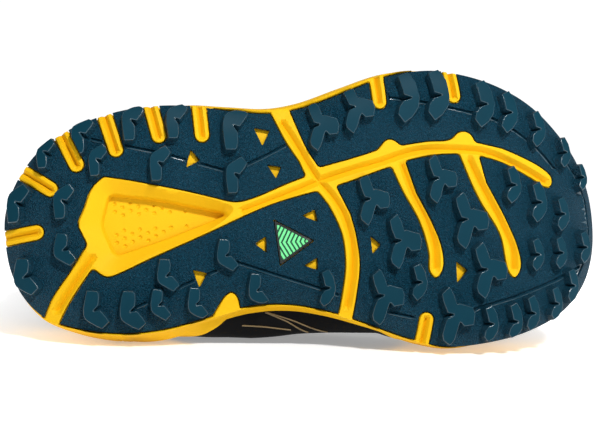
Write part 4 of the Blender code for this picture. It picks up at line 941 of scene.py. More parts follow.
def rubber_plan(name, loops, lugs):
    """Plan points and triangles of a pad, with rings round its border and lugs and lines by its grooves."""
    rings = [grown(lug, -reach) for lug in lugs for reach in LUG_RINGS]
    rings += [grown(loop, -reach if area(loop) > 0 else reach) for loop in loops for reach in EDGE_RINGS]
    lines = []
    for row in RUBBER_LINES:
        for part in clear_runs(spaced(smooth_run(plan(row), steps=5), GROOVE_POINTS), name):
            lines += [beside(part, sign * reach) for reach in LINE_RINGS for sign in (1, -1)]
            lines += [beside(part, BEAD_AWAY + sign * reach) for reach in BEAD_RINGS for sign in (1, -1)]
    grid = grid_points(BASE_GRID)
    grid = grid[inside(loops[0], grid)]
    grid = grid[pad_distance(grid, name) > GRID_CLEAR]
    reach = lug_distance(grid, lugs)
    grid = grid[(reach < LUG_CLEARS[0]) | (reach > LUG_CLEARS[1])]
    points, triangles, _ = triangulate(loops, [closed_line(ring) for ring in rings] + lines, grid)
    return points, triangles[in_rubber(points[triangles].mean(1), loops)]


def rubber_pad(name, finishes):
    """One pad: a plate with rounded borders and its lugs, closed by a plain back. The finishes are those of
    the base, of the lugs' ground faces, and of lug edges and beads, whose lighter colour is a painted
    highlight."""
    loops = pad_loops(name)
    lugs = [lug for lug in lug_loops() if inside(loops[0], lug).any()]
    points, triangles = rubber_plan(name, loops, lugs)
    drop, proud, bead = rubber_surface(points, name, lugs)
    normal = tread_normal(points) * (1 - LUG_UPRIGHT) + np.array((0, 0, -LUG_UPRIGHT))
    normal /= np.linalg.norm(normal, axis=1)[:, None]
    face = np.column_stack([points, tread_height(points) + drop]) + normal * proud[:, None]
    edges = boundary([tuple(t) for t in triangles])
    used = sorted({v for edge in edges for v in edge})
    index = {v: len(points) + k for k, v in enumerate(used)}
    border = points[used]
    back = np.column_stack([border, tread_height(border) + RUBBER_WALL])
    chained = ordered_loops([(index[a] - len(points), index[b] - len(points)) for a, b in edges])
    faces = [tuple(t) for t in triangles]
    faces += [(b, a, index[a], index[b]) for a, b in edges]
    faces += [tuple(len(points) + v for v in t[::-1]) for t in fill_back(border, chained)]
    low = proud[triangles].min(1) / LUG_DEPTH
    # Faces on the lugs' top chamfers and on the beads take the lighter edge rubber: a painted highlight
    lit = (low > 0.9) & (low < 0.99) | (bead[triangles].mean(1) > 0.6)
    finish = np.where(lit, 2, low > 0.5).astype(int).tolist()
    finish += [0] * (len(faces) - len(finish))
    made = make_mesh(name + "_look", np.vstack([face, back]), faces, finishes, finish, RUBBER_ANGLE)
    settle(made, "outsole_rubber", name)
    return made


def clear_runs(line, name):
    """The parts of a line that lie well inside a pad."""
    clear = pad_distance(line, name) > LINE_CLEAR
    cuts = np.flatnonzero(np.diff(clear)) + 1
    starts = [0, *cuts]
    return [part for part, start in zip(np.split(line, cuts), starts) if clear[start] and len(part) > 2]


def fill_back(border, chained):
    """Triangles over the pad's back, between its border and its holes."""
    loops = [loop[:: 1 if area(border[loop]) > 0 else -1] for loop in chained]
    outer = max(loops, key=lambda loop: area(border[loop]))
    main = loops.index(outer)
    verts, _, tris, _, _, held = delaunay_2d_cdt([Vector(p) for p in border], [], loops, 1, 1e-7)
    if len(verts) != len(border):
        raise RuntimeError("the pad's back took new corners")
    return [tuple(t) for t, h in zip(tris, held) if set(h) == {main}]


def tread_normal(points, reach=0.003):
    """Unit vectors out of the tread, away from the foot."""
    dx, dy = np.array((reach, 0)), np.array((0, reach))
    slope_x = (tread_height(points + dx) - tread_height(points - dx)) / (2 * reach)
    slope_y = (tread_height(points + dy) - tread_height(points - dy)) / (2 * reach)
    out = np.stack([slope_x, slope_y, -np.ones(len(points))], axis=1)
    return out / np.linalg.norm(out, axis=1)[:, None]


def shallow(share):
    """A smooth step from 0 to 1."""
    share = np.clip(share, 0, 1)
    return share * share * (3 - 2 * share)


def groove_lines():
    """The middles of the foam channels between the pads, and of the slots in from the sole's edge, each with
    the width of its groove as a share of a channel's."""
    lines = [(smooth_run(plan(row)), 1.0) for row in CHANNEL_LINES]
    for row in SLOTS:
        mouth, tip = plan((row[:2], row[2:]))
        way = (tip - mouth) / np.linalg.norm(tip - mouth)
        lines.append((spaced(np.array([mouth, tip - way * SLOT_SHORT * SLOT_WIDTH]), 12), SLOT_GROOVE))
    return lines


def beside(line, reach):
    """The line again, shifted sideways in plan."""
    ahead = np.gradient(line, axis=0)
    side = np.column_stack([-ahead[:, 1], ahead[:, 0]])
    return line + side / np.linalg.norm(ahead, axis=1)[:, None] * reach


@functools.lru_cache(maxsize=None)
def recess_loops():
    """The heel recess's mouth and its floor in plan."""
    mouth = smooth_run(plan(CAVITY_MOUTH), closed=True, steps=6)
    return mouth, rounded(plan(CAVITY_FLOOR), RECESS_CORNER, RECESS_STEP, 6)


@functools.lru_cache(maxsize=None)
def dimples():
    """The middles of the dimples on the recess's floor, in staggered rows that leave a lane along it."""
    floor = recess_loops()[1]
    start, end = plan(DIMPLE_ROW)
    way = (end - start) / np.linalg.norm(end - start)
    side = np.array((-way[1], way[0]))
    spots = []
    for a in range(-2, 20):
        for b in np.arange(-7, 8) + 0.5 * (a % 2):
            if abs(b) * DIMPLE_STEP > DIMPLE_CLEAR:
                spots.append(start + way * a * DIMPLE_STEP + side * b * DIMPLE_STEP)
    spots = np.array(spots)
    clear = inside(floor, spots)
    clear &= line_distance(spots, closed_line(floor)) > 1.7 * DIMPLE_RADIUS
    return spots[clear]


def recess_share(points):
    """The share of the heel recess's depth at each plan point: a slope in from its mouth, then a steeper step
    down to its floor."""
    mouth, floor = recess_loops()
    to_mouth = line_distance(points, closed_line(mouth)) * inside(mouth, points)
    to_floor = line_distance(points, closed_line(floor)) * ~inside(floor, points)
    share = to_mouth / (to_mouth + to_floor + 1e-9)
    return (1 - RECESS_DROP) * share + RECESS_DROP * shallow((share - RECESS_BREAK) / (1 - RECESS_BREAK))


def foam_underside(points):
    """Height of the foam's underside: flush strips between the pads with a groove along each, seats behind
    the pads, and the recess under the heel."""
    gap = -np.max([pad_distance(points, name) for name in PADS], axis=0)
    proud = FLUSH * np.interp(gap, STRIP_RINGS, STRIP_SHARES)
    for row in WINDOWS:
        proud[inside(grown(window_loop(row), WINDOW_MARGIN), points)] = FLUSH - WINDOW_DEPTH
    proud[inside(scaled(plan(INLAY), INLAY_MARGIN), points)] = 0.0
    groove = np.zeros(len(points))
    for line, wide in groove_lines():
        near = line_distance(points, line) / (GROOVE_HALF * wide)
        groove = np.maximum(groove, GROOVE_DEPTH * np.interp(near, GROOVE_RUN, GROOVE_SHARES))
    deep = recess_share(points)
    spot = np.full(len(points), 1.0)
    low = inside(recess_loops()[1], points)
    if low.any():
        spot[low] = np.linalg.norm(points[low][:, None] - dimples()[None], axis=2).min(1)
    dimple = DIMPLE_DEPTH * np.clip(1 - (spot / DIMPLE_RADIUS) ** 2, 0, 1)
    flush = proud * (1 - deep)
    groove = np.where(flush > 0.3 * FLUSH, groove, 0)
    return foam_seat(points) - flush + groove + CAVITY_DEPTH * deep + dimple


def scaled(loop, share):
    """A loop made larger or smaller about its middle."""
    middle = loop.mean(0)
    return middle + (loop - middle) * share


def edge_frame(points):
    """The nearest place on the rubber's outline and the way out of it, for each plan point."""
    fine = outline(PLACE_POINTS)
    out = outward(fine)
    nearest = np.concatenate([
        np.linalg.norm(part[:, None] - fine[None], axis=2).argmin(1) for part in np.array_split(points, 8)
    ])
    following = (nearest + 1) % len(fine)
    run = fine[following] - fine[nearest - 1]
    share = ((points - fine[nearest]) * run).sum(1) / (run * run).sum(1)
    share = np.clip(share, -0.25, 0.25)[:, None]
    way = out[nearest] + (out[following] - out[nearest - 1]) * share
    return fine[nearest] + run * share, way / np.linalg.norm(way, axis=1)[:, None]


def foam_rings(ring):
    """The foam's side as rings of points, from the edge of its underside over its rim to its footbed. Over
    the arch the rings slide up or down the side so that one follows the dark film's edge."""
    base, out = edge_frame(ring[:, :2])
    seat = foam_seat(base)
    share = medial_share(base)
    along = base[:, 0] / SOLE_LENGTH
    lip = SEAT_LIP * side_values(base, 1, 2, LIP_SHARES)
    rim = side_values(base, 2, 3) * FOAM_HEIGHT
    bulge = side_values(base, 4, 5) * SIDE_BULGE
    reach = column(ARCH_REACH, along, 1) - base[:, 1] - lip - bulge
    swell = np.clip(reach, 0, None) * share * shallow(np.interp(along, ARCH_RUN, (0, 1, 1, 0)))
    inset = rim_inset(base)
    knots = []
    for offset, up in (
        (lip + 0.2 * bulge, 0.06),
        (lip + 0.7 * bulge + 0.5 * swell, 0.16),
        (lip + bulge + swell, 0.32),
        (lip + 0.6 * bulge + 0.8 * swell - 0.25 * inset, 0.62),
        (lip - SEAT_LIP - 0.90 * inset, 0.93),
        (-inset, 1.0),
    ):
        knots.append(np.column_stack([base + out * offset[:, None], seat + (rim - seat) * up]))
    side = smooth_run(np.array(knots).reshape(len(knots), -1), steps=SIDE_STEPS).reshape(-1, len(ring), 3)
    stops = np.arange(SIDE_RINGS)
    starts = np.where(share > FILM_SHARE, np.interp(along, *zip(*FILM_EDGE)), FILM_RING)
    for k in np.flatnonzero(starts > FILM_RING):
        slid = np.interp(stops, (0, FILM_RING, SIDE_RINGS - 1), (0, starts[k], SIDE_RINGS - 1))
        side[:, k] = np.stack([np.interp(slid, stops, side[:, k, axis]) for axis in range(3)], axis=1)
    rings = [ring, *side]
    for back, up in RIM_ROUND:
        rings.append(np.column_stack([base - out * (inset + back * RIM_WALL)[:, None], rim + up]))
    inner = base - out * (inset + RIM_WALL)[:, None]
    rings.append(np.column_stack([inner, footbed(inner)]))
    return rings


def bridge(first, second, count):
    """Quads between two rings whose points start at these indices."""
    return [(first + k, first + (k + 1) % count, second + (k + 1) % count, second + k) for k in range(count)]


def foam_plan():
    """Plan points and triangles of the foam's underside, with lines where its height bends."""
    base = outline(FOAM_POINTS)
    lip = SEAT_LIP * side_values(base, 1, 2, LIP_SHARES)
    edge = base + outward(base) * np.maximum(lip, -0.3 * SEAT_LIP)[:, None]
    lines = []
    for name in PADS:
        for k, loop in enumerate(pad_loops(name)):
            for reach in STRIP_RINGS[: 3 if abs(area(loop)) < SMALL_HOLE else 5]:
                lines.append(closed_line(grown(loop, -reach if k else reach)))
    for line, wide in groove_lines():
        lines += [beside(line, reach * wide * GROOVE_HALF) for reach in GROOVE_LINES]
    mouth, floor = recess_loops()
    lines += [closed_line(mouth), closed_line(floor)]
    lines += [closed_line(grown(floor, reach)) for reach in RECESS_RINGS]
    turns = np.linspace(0, 2 * math.pi, 11)
    for spot in dimples():
        for reach in (1.0, 0.55):
            lines.append(spot + reach * DIMPLE_RADIUS * np.column_stack([np.cos(turns), np.sin(turns)]))
    grid = grid_points(FOAM_STEP)
    grid = grid[inside(grown(edge, -FOAM_CLEAR), grid)]
    points, triangles, held = triangulate([edge], lines, np.vstack([grid, dimples()]))
    used, triangles = np.unique(triangles[[bool(h) for h in held]], return_inverse=True)
    return points[used], triangles.reshape(-1, 3)


def midsole(finishes):
    """The foam, with its strips, grooves and recess below, a bulging side with a dark film over the medial
    arch, and a rounded rim."""
    points, triangles = foam_plan()
    low = np.column_stack([points, foam_underside(points)])
    faces = [tuple(t) for t in triangles]
    loop = max(ordered_loops(boundary(faces)), key=len)
    rings = foam_rings(low[loop])
    count, start = len(loop), len(low)
    faces += [(loop[k], loop[(k + 1) % count], start + (k + 1) % count, start + k) for k in range(count)]
    finish = [0] * len(faces)
    base = edge_frame(rings[0][:, :2])[0]
    along = base[:, 0] / SOLE_LENGTH
    film = (along > FILM_EDGE[1][0]) & (along < FILM_EDGE[-2][0]) & (medial_share(base) > FILM_SHARE)
    for k in range(len(rings) - 2):
        faces += bridge(start + k * count, start + (k + 1) * count, count)
        finish += (film & (k >= FILM_RING)).astype(int).tolist()
    top = start + (len(rings) - 2) * count
    faces.append(tuple(top + k for k in range(count)))
    made = make_mesh("midsole_look", np.vstack([low, *rings[1:]]), faces, finishes, finish + [0], FOAM_ANGLE)
    settle(made, "midsole_foam", "midsole")
    return made


def inlay(finishes):
    """The three-cornered film plate in its window: a light face with a dark border."""
    loop = rounded(scaled(plan(INLAY), INLAY_FIT * INLAY_GROWTH), INLAY_ROUND, INLAY_STEP)
    seat = foam_seat(loop) - FIT_GAP
    rings = [np.column_stack([scaled(loop, share), seat - height]) for share, height in INLAY_RINGS]
    count = len(loop)
    faces = []
    for k in range(len(rings) - 1):
        faces += bridge(k * count, (k + 1) * count, count)
    finish = [1] * len(faces) + [0, 1]
    faces += [tuple(range((len(rings) - 1) * count, len(rings) * count)), tuple(range(count))]
    corners = np.vstack(rings)
    low, tip, high = plan(INLAY)
    way = 0.5 * (low + high) - tip
    way /= np.linalg.norm(way)
    rel = corners[:, :2] - tip
    uv = np.column_stack([rel @ np.array((-way[1], way[0])), rel @ way])
    made = make_mesh("inlay_look", corners, faces, finishes, finish, FILM_ANGLE, uv)
    settle(made, "inlay_film", "sole_inlay")
    return made


@functools.lru_cache(maxsize=None)
def foot_loop(inset, count):
    """The last's feather line, inside the foam's rim by an inset, in plan."""
    loop = outline(LAST_POINTS)
    return spaced(loop - outward(loop) * (rim_inset(loop) + RIM_WALL + inset)[:, None], count, closed=True)


@functools.lru_cache(maxsize=None)
def rail_rows():
    """The upper's rails, once round from the back of the heel by the lateral side."""
    loop = foot_loop(2 * FIT_GAP + OVERLAY_STEP, 8 * RAILS)
    heel, toe = np.argmin(loop[:, 0]), np.argmax(loop[:, 0])
    loop = np.roll(loop, -heel, 0)
    toe = (toe - heel) % len(loop)
    lateral, medial = loop[: toe + 1], np.vstack([loop[toe:], loop[:1]])[::-1]
    share = 0.5 - 0.5 * np.cos(math.pi * np.arange(HALF_RAILS + 1) / HALF_RAILS)
    across = loop[0, 0] + share * (loop[toe, 0] - loop[0, 0])
    sides = [np.column_stack([across, np.interp(across, way[:, 0], way[:, 1])]) for way in (lateral, medial)]
    feet = np.vstack([sides[0], sides[1][-2:0:-1]])
    share = np.concatenate([share, share[-2:0:-1]])
    side = np.concatenate([np.ones(HALF_RAILS + 1), -np.ones(HALF_RAILS - 1)])
    values = {name: column(UPPER_RAILS, share, k) for k, name in enumerate(RAIL_COLUMNS)}
    values["foot"] = share
    across = column(LAST_AXIS, values["top"], 1) + side * values["half"] * THROAT_WIDTH / SOLE_WIDTH
    height = values["height"] * COLLAR_HEIGHT
    top = np.column_stack([values["top"] * SOLE_LENGTH, -across * SOLE_WIDTH, height])
    flare = np.where(side > 0, values["lateral"], values["medial"]) * SOLE_WIDTH
    foot = np.column_stack([feet, footbed(feet) + FIT_GAP])
    return foot, top, values, flare


def side_rails(name):
    """A column of the rails' values along one side, from heel to toe."""
    return rail_rows()[2][name][: HALF_RAILS + 1]


def upper_surface(shares, offset):
    """The upper's outer face at each rail for rows of shares up the rails, from -1 at the foot and 0 at the
    foam's rim to 1 at the top. offset gives, for each row and rail, how far it stands proud of the last."""
    foot, top, values, flare = rail_rows()
    away = foot[:, :2] - top[:, :2]
    reach = np.linalg.norm(away, axis=1)
    away = np.column_stack([away / reach[:, None], np.zeros(len(foot))])
    up = np.array((0.0, 0.0, 1.0))
    out = np.column_stack([outward(foot[:, :2]), np.zeros(len(foot))])
    rim = np.column_stack([foot[:, :2], side_values(foot[:, :2], 2, 3) * FOAM_HEIGHT + 2 * FIT_GAP])
    handle = rim + up * (values["rise"] * COLLAR_HEIGHT)[:, None] + out * flare[:, None]
    over = top + away * (values["reach"] * reach)[:, None] - up * (values["drop"] * COLLAR_HEIGHT)[:, None]
    over = over + out * (0.7 * flare)[:, None]
    rows = []
    for t in shares:
        t = np.asarray(t)[:, None] if np.ndim(t) else np.full((len(foot), 1), t)
        curve = (1 - t) ** 3 * rim + 3 * (1 - t) ** 2 * t * handle
        curve += 3 * (1 - t) * t * t * over + t ** 3 * top
        rows.append(np.where(t < 0, rim + t * (rim - foot), curve))
    grid = np.array(rows)
    round_way = np.roll(grid, -1, 1) - np.roll(grid, 1, 1)
    up_way = np.gradient(grid, axis=0)
    normal = np.cross(round_way, up_way)
    normal /= np.linalg.norm(normal, axis=2)[..., None]
    if (normal[0] * out).sum() < 0:
        normal = -normal
    return grid + normal * offset[..., None], normal


@functools.lru_cache(maxsize=None)
def upper_base():
    """The upper's outer face without its bands, and its normals, as a grid."""
    return upper_surface(np.linspace(0, 1, RAIL_ROWS), np.zeros((RAIL_ROWS, RAILS)))


def on_upper(side, along, share, proud=0.0):
    """Points and normals on the upper: side 1 is lateral and -1 medial, along is a share of the rails' run
    from heel to toe, and share is how far up them."""
    along, share = np.broadcast_arrays(np.asarray(along, float), np.asarray(share, float))
    rail = RAILS / 2 * np.arccos(np.clip(1 - 2 * along, -1, 1)) / math.pi
    rail = (rail if side > 0 else RAILS - rail) % RAILS
    row = np.clip(share, 0, 1) * (RAIL_ROWS - 1)
    k, r = np.floor(rail).astype(int) % RAILS, np.minimum(np.floor(row).astype(int), RAIL_ROWS - 2)
    a, b = (rail - np.floor(rail))[:, None], (row - r)[:, None]
    found = []
    for grid in upper_base():
        low = grid[r, k] * (1 - a) + grid[r, (k + 1) % RAILS] * a
        high = grid[r + 1, k] * (1 - a) + grid[r + 1, (k + 1) % RAILS] * a
        found.append(low * (1 - b) + high * b)
    normal = found[1] / np.linalg.norm(found[1], axis=1)[:, None]
    return found[0] + normal * proud, normal


def foot_band(shares, band):
    """How far the foot band stands proud at shares up the rails, where its edge is at band."""
    return OVERLAY_STEP * (1 - shallow((shares - band + BAND_EDGE) / BAND_EDGE))


def overlay_height(shares):
    """How far the bands stand proud at rows of shares up the rails."""
    values = rail_rows()[2]
    top_band = OVERLAY_STEP * shallow((shares - values["collar"][None]) / BAND_EDGE)
    return np.maximum(foot_band(shares, values["band"][None]), top_band)


def rail_shares(band, collar):
    """Rows of shares up the rails, close together at the bands' edges."""
    rows = [np.full(RAILS, share) for share in np.linspace(-1, 0, 5)[:-1]]
    for start, end, steps in (
        (0 * band, band - BAND_EDGE, 14),
        (band - BAND_EDGE, band, 4),
        (band, collar, 26),
        (collar, collar + BAND_EDGE, 4),
        (collar + BAND_EDGE, 1 + 0 * band, 12),
    ):
        rows += [start + (end - start) * k / steps for k in range(steps)]
    return np.array([*rows, np.ones(RAILS)])


def rolled_edge(outer, inner):
    """Rings over the collar's edge, half round from its outer to its inner face."""
    ahead = outer[-1] - outer[-2]
    ahead /= np.linalg.norm(ahead, axis=1)[:, None]
    middle, half = 0.5 * (outer[-1] + inner[-1]), 0.5 * (outer[-1] - inner[-1])
    ahead *= np.linalg.norm(half, axis=1)[:, None]
    return [middle + half * math.cos(a) + ahead * math.sin(a) for a in np.linspace(0, math.pi, 9)[1:-1]]


def upper(finishes):
    """The upper's wall: mesh between a foot band and a throat band, with a rolled edge and a lining."""
    values = rail_rows()[2]
    band, collar = values["band"], values["collar"]
    shares = rail_shares(band, collar)
    proud = overlay_height(shares)
    outer, normal = upper_surface(shares, proud)
    swell = np.interp(shares, *PADDED_UP) * np.interp(values["foot"], *PADDED_ALONG)[None]
    inner = outer - normal * (proud + UPPER_WALL + swell * COLLAR_PADDING)[..., None]
    rings = [*outer, *rolled_edge(outer, inner)]
    rings += [inner[k] for k in range(len(inner) - 1, -1, -1) if k % 3 == 0 or k > len(inner) - 8]
    faces, finish = [], []
    for k in range(len(rings)):
        faces += bridge(k * RAILS, (k + 1) % len(rings) * RAILS, RAILS)
        if k < len(outer) - 1:
            middle = 0.5 * (shares[k] + shares[k + 1])
            banded = (middle < band - 0.5 * BAND_EDGE) | (middle > collar + 0.3 * BAND_EDGE)
            finish += banded.astype(int).tolist()
        else:
            finish += [1 if k < len(outer) else 2] * RAILS
    round_run = np.concatenate([[0], np.cumsum(np.linalg.norm(np.diff(outer[20], axis=0), axis=1))])
    up_run = [np.zeros(RAILS)]
    for low, high in zip(rings, rings[1:]):
        up_run.append(up_run[-1] + np.linalg.norm(high - low, axis=1))
    uv = np.column_stack([np.tile(round_run, len(rings)), np.concatenate(up_run)])
    made = make_mesh("upper_look", np.vstack(rings), faces, finishes, finish, uv=uv)
    settle(made, "upper_mesh", "upper")
    return made


def tube(path, up, width, height, sides=TUBE_SIDES):
    """A closed tube of oval section along a path. up gives the way its height points at each step."""
    path, up = np.asarray(path, float), np.asarray(up, float)
    ahead = np.gradient(path, axis=0)
    ahead /= np.linalg.norm(ahead, axis=1)[:, None]
    side = np.cross(ahead, up)
    side /= np.linalg.norm(side, axis=1)[:, None]
    rise_way = np.cross(side, ahead)
    turns = np.linspace(0, 2 * math.pi, sides, endpoint=False)
    rings = [path + side * math.cos(t) * width / 2 + rise_way * math.sin(t) * height / 2 for t in turns]
    corners = np.stack(rings, axis=1).reshape(-1, 3)
    faces = []
    for k in range(len(path) - 1):
        faces += bridge(k * sides, (k + 1) * sides, sides)
    faces += [tuple(range(sides))[::-1], tuple((len(path) - 1) * sides + k for k in range(sides))]
    return corners, faces


def joined(parts):
    """Several meshes as one."""
    corners, faces, start = [], [], 0
    for points, loops in parts:
        corners.append(points)
        faces += [tuple(start + v for v in loop) for loop in loops]
        start += len(points)
    return np.vstack(corners), faces


def stitch_row(side, along, share):
    """Short stitches along a line on the upper."""
    path, normal = on_upper(side, along, share, OVERLAY_STEP)
    run = np.concatenate([[0], np.cumsum(np.linalg.norm(np.diff(path, axis=0), axis=1))])
    parts = []
    for start in np.arange(0.001, run[-1] - STITCH_LENGTH, STITCH_LENGTH + STITCH_GAP):
        stops = np.linspace(start, start + STITCH_LENGTH, 4)
        spots = np.stack([np.interp(stops, run, path[:, k]) for k in range(3)], axis=1)
        ways = np.stack([np.interp(stops, run, normal[:, k]) for k in range(3)], axis=1)
        ways /= np.linalg.norm(ways, axis=1)[:, None]
        spots += ways * np.array((-0.0001, 0.0002, 0.0002, -0.0001))[:, None]
        parts.append(tube(spots, ways, *STITCH_SECTION, sides=6))
    return parts


def seams(finish):
    """Rows of stitches beside the edges of the foot band and the throat band."""
    along = np.linspace(0.0, 1.0, 400)
    band = np.interp(along, side_rails("foot"), side_rails("band"))
    collar = np.interp(along, side_rails("foot"), side_rails("collar"))
    front = along[along > STITCH_FRONT]
    parts = []
    for side in (1, -1):
        parts += stitch_row(side, along, band - STITCH_AWAY)
        parts += stitch_row(side, along, collar + STITCH_AWAY)
        parts += stitch_row(side, front, np.full(len(front), STITCH_TOP))
    made = make_mesh("seam_stitches", *joined(parts), [finish])
    settle(made, "upper_mesh")
    return made


def arch_lines(finish):
    """The thin tan lines that fan out over the arch: on both sides of the upper and on the foam's film."""
    parts = []
    for side in (-1, 1):
        for row in ARCH_LINES:
            line = spaced(smooth_run(row), 60)
            step = foot_band(line[:, 1], np.interp(line[:, 0], side_rails("foot"), side_rails("band")))
            path, normal = on_upper(side, line[:, 0], line[:, 1])
            path += normal * (step + ARCH_LINE_PROUD)[:, None]
            parts.append(tube(path, normal, *ARCH_LINE_SECTION))
    loop = outline(FOAM_POINTS)
    rings = np.array(foam_rings(np.column_stack([loop, foam_seat(loop)]))[1 : SIDE_RINGS + 1])
    medial = np.flatnonzero(medial_share(loop) > FILM_SHARE)
    medial = medial[np.argsort(loop[medial, 0])]
    for row in FILM_LINES:
        line = spaced(smooth_run(row), 50)
        columns = np.interp(line[:, 0] * SOLE_LENGTH, loop[medial, 0], np.arange(len(medial)))
        path = []
        for at, ring in zip(columns, line[:, 1]):
            k, r = int(at), int(ring)
            low = rings[r, medial[k]] * (1 - at + k) + rings[r, medial[k + 1]] * (at - k)
            high = rings[r + 1, medial[k]] * (1 - at + k) + rings[r + 1, medial[k + 1]] * (at - k)
            path.append(low * (1 - ring + r) + high * (ring - r))
        up = np.column_stack([outward(loop)[medial[columns.astype(int)]], np.zeros(len(line))])
        parts.append(tube(np.array(path), up, *FILM_LINE_SECTION))
    made = make_mesh("arch_lines", *joined(parts), [finish])
    settle(made, "upper_mesh")
    return made


def tongue(finish):
    """The padded flap under the throat, crowned, with quilted channels across its top."""
    foot = side_rails("foot")
    shares = np.linspace(*TONGUE_SHARES, 9)
    outer, normal = upper_surface(shares, np.zeros((9, RAILS)))
    inner = outer - normal * (UPPER_WALL + 7 * FIT_GAP)
    lateral = [k for k in range(HALF_RAILS) if TONGUE_RUN[0] <= foot[k] <= TONGUE_RUN[1]]
    rows = []
    for k in lateral[::2]:
        other = RAILS - k
        left, right = inner[:, k], inner[::-1, other]
        middle = []
        for t in np.linspace(0, 1, 14)[1:-1]:
            crown = np.array((0, 0, 4 * t * (1 - t) * TONGUE_CROWN))
            middle.append(left[-1] * (1 - t) + right[0] * t + crown)
        rows.append(np.array([*left, *middle, *right]))
    top = rows[0]
    centre = top[len(top) // 2]
    for step in np.linspace(0, 1, 13)[1:]:
        narrow = centre + (top - centre) * (1 - TONGUE_NARROW * step ** 1.5)
        rows.insert(0, narrow + np.array(TONGUE_LEAN) * TONGUE_RISE * step)
    face = np.array(rows)
    run, over = np.gradient(face, axis=0), np.gradient(face, axis=1)
    down = np.cross(run, over)
    down /= np.linalg.norm(down, axis=2)[..., None]
    down *= -np.sign(down[..., 2].mean())
    length, count = face.shape[:2]
    step = np.arange(length)[:, None] / (length - 1)
    across = abs(np.linspace(-1, 1, count))[None]
    rim = np.clip((1 - across) / TONGUE_EDGE, 0, 1) * np.clip(step / TONGUE_FRONT, 0, 1)
    puff = TONGUE_PUFF * shallow(rim) * (0.75 + 0.25 * np.cos(step * QUILT_TURN))
    face = face - down * (puff - TONGUE_SUNK)[..., None]
    back = face + down * (TONGUE_WALL * (0.35 + 0.65 * shallow(rim)) + puff)[..., None]
    corners = np.vstack([face.reshape(-1, 3), back.reshape(-1, 3)])
    under = length * count
    faces = []
    for r in range(length - 1):
        for c in range(count - 1):
            a = r * count + c
            faces.append((a, a + 1, a + count + 1, a + count))
            faces.append((under + a, under + a + count, under + a + count + 1, under + a + 1))
    rim_way = list(range(count)) + [r * count + count - 1 for r in range(1, length)]
    rim_way += [(length - 1) * count + c for c in range(count - 2, -1, -1)]
    rim_way += [r * count for r in range(length - 2, 0, -1)]
    faces += [(b, a, under + a, under + b) for a, b in zip(rim_way, rim_way[1:] + rim_way[:1])]
    made = make_mesh("tongue_look", corners, faces, [finish])
    settle(made, "tongue_cloth", "tongue")
    return made


def insole(finish):
    """The footbed that shows inside the collar, softly rounded at its edge."""
    loop = foot_loop(UPPER_WALL + OVERLAY_STEP + 4 * FIT_GAP, INSOLE_POINTS)
    rings = [np.column_stack([loop, footbed(loop) + FIT_GAP])]
    for back, up in INSOLE_RINGS:
        ring = loop - outward(loop) * back
        rings.append(np.column_stack([ring, footbed(ring) + FIT_GAP + INSOLE_WALL * up]))
    count = len(loop)
    faces = []
    for k in range(len(rings) - 1):
        faces += bridge(k * count, (k + 1) * count, count)
    last = rings[-1][:, :2]
    points, triangles, _ = triangulate([last], (), inner_grid(last, INSOLE_GRID))
    heights = footbed(points) + FIT_GAP + INSOLE_RINGS[-1][1] * INSOLE_WALL
    start = (len(rings) - 1) * count
    corners = np.vstack([*rings, np.column_stack([points, heights])[count:]])
    faces += [tuple(start + v for v in t) for t in triangles]
    faces.append(tuple(range(count)))
    made = make_mesh("insole_look", corners, faces, [finish])
    settle(made, "insole_cloth", "insole")
    return made


def inner_grid(loop, spacing):
    """Grid points inside a loop and clear of it."""
    grid = grid_points(spacing)
    clear = inside(loop, grid)
    clear &= line_distance(grid, closed_line(loop)) > 0.4 * spacing
    return grid[clear]


def throat():
    """The throat as run along its middle: half widths, the edges and the rows under the eyelets."""
    proud = OVERLAY_STEP + 3 * FIT_GAP
    outer, normal = upper_surface((EYELET_SHARE, 1.0), np.full((2, RAILS), proud))
    near = np.arange(HALF_RAILS + 1)
    other = (RAILS - near) % RAILS
    far, edge = outer
    middle = 0.5 * (edge[near] + edge[other])
    run = np.concatenate([[0.0], np.cumsum(np.linalg.norm(np.diff(middle, axis=0), axis=1))])
    width = 0.5 * np.linalg.norm(edge[near] - edge[other], axis=1)
    return run, width, middle, (edge[near], edge[other]), (far[near], far[other])


def laid(flat):
    """Points of the flat lace pattern laid over the throat: run along it and distance across it."""
    run, width, middle, edges, fars = throat()
    found = []
    for rows in (middle, *edges, *fars):
        found.append(np.stack([np.interp(flat[:, 0], run, rows[:, k]) for k in range(3)], axis=1))
    lateral = (flat[:, 1] > 0)[:, None]
    centre = found[0]
    side = np.where(lateral, found[1], found[2])
    outside = np.where(lateral, found[3], found[4])
    reach = np.interp(flat[:, 0], run, width)
    over = np.clip(abs(flat[:, 1]) / reach, 0, 1)[:, None]
    down = np.clip(abs(flat[:, 1]) - reach, 0, None)[:, None]
    away = (outside - side) / np.linalg.norm(outside - side, axis=1)[:, None]
    crown = 0.5 * TONGUE_CROWN * (1 - over ** 2) * np.array((0, 0, 1.0))
    return centre + (side - centre) * over + away * down + crown


def eyelet_stops():
    """Where the eyelet pairs are, as runs along the throat's middle from the heel."""
    shares = np.linspace(EYELET_FRONT, EYELET_TOP, LACE_CROSSINGS + 1)
    return [float(stop) for stop in np.interp(shares, side_rails("foot"), throat()[0])]


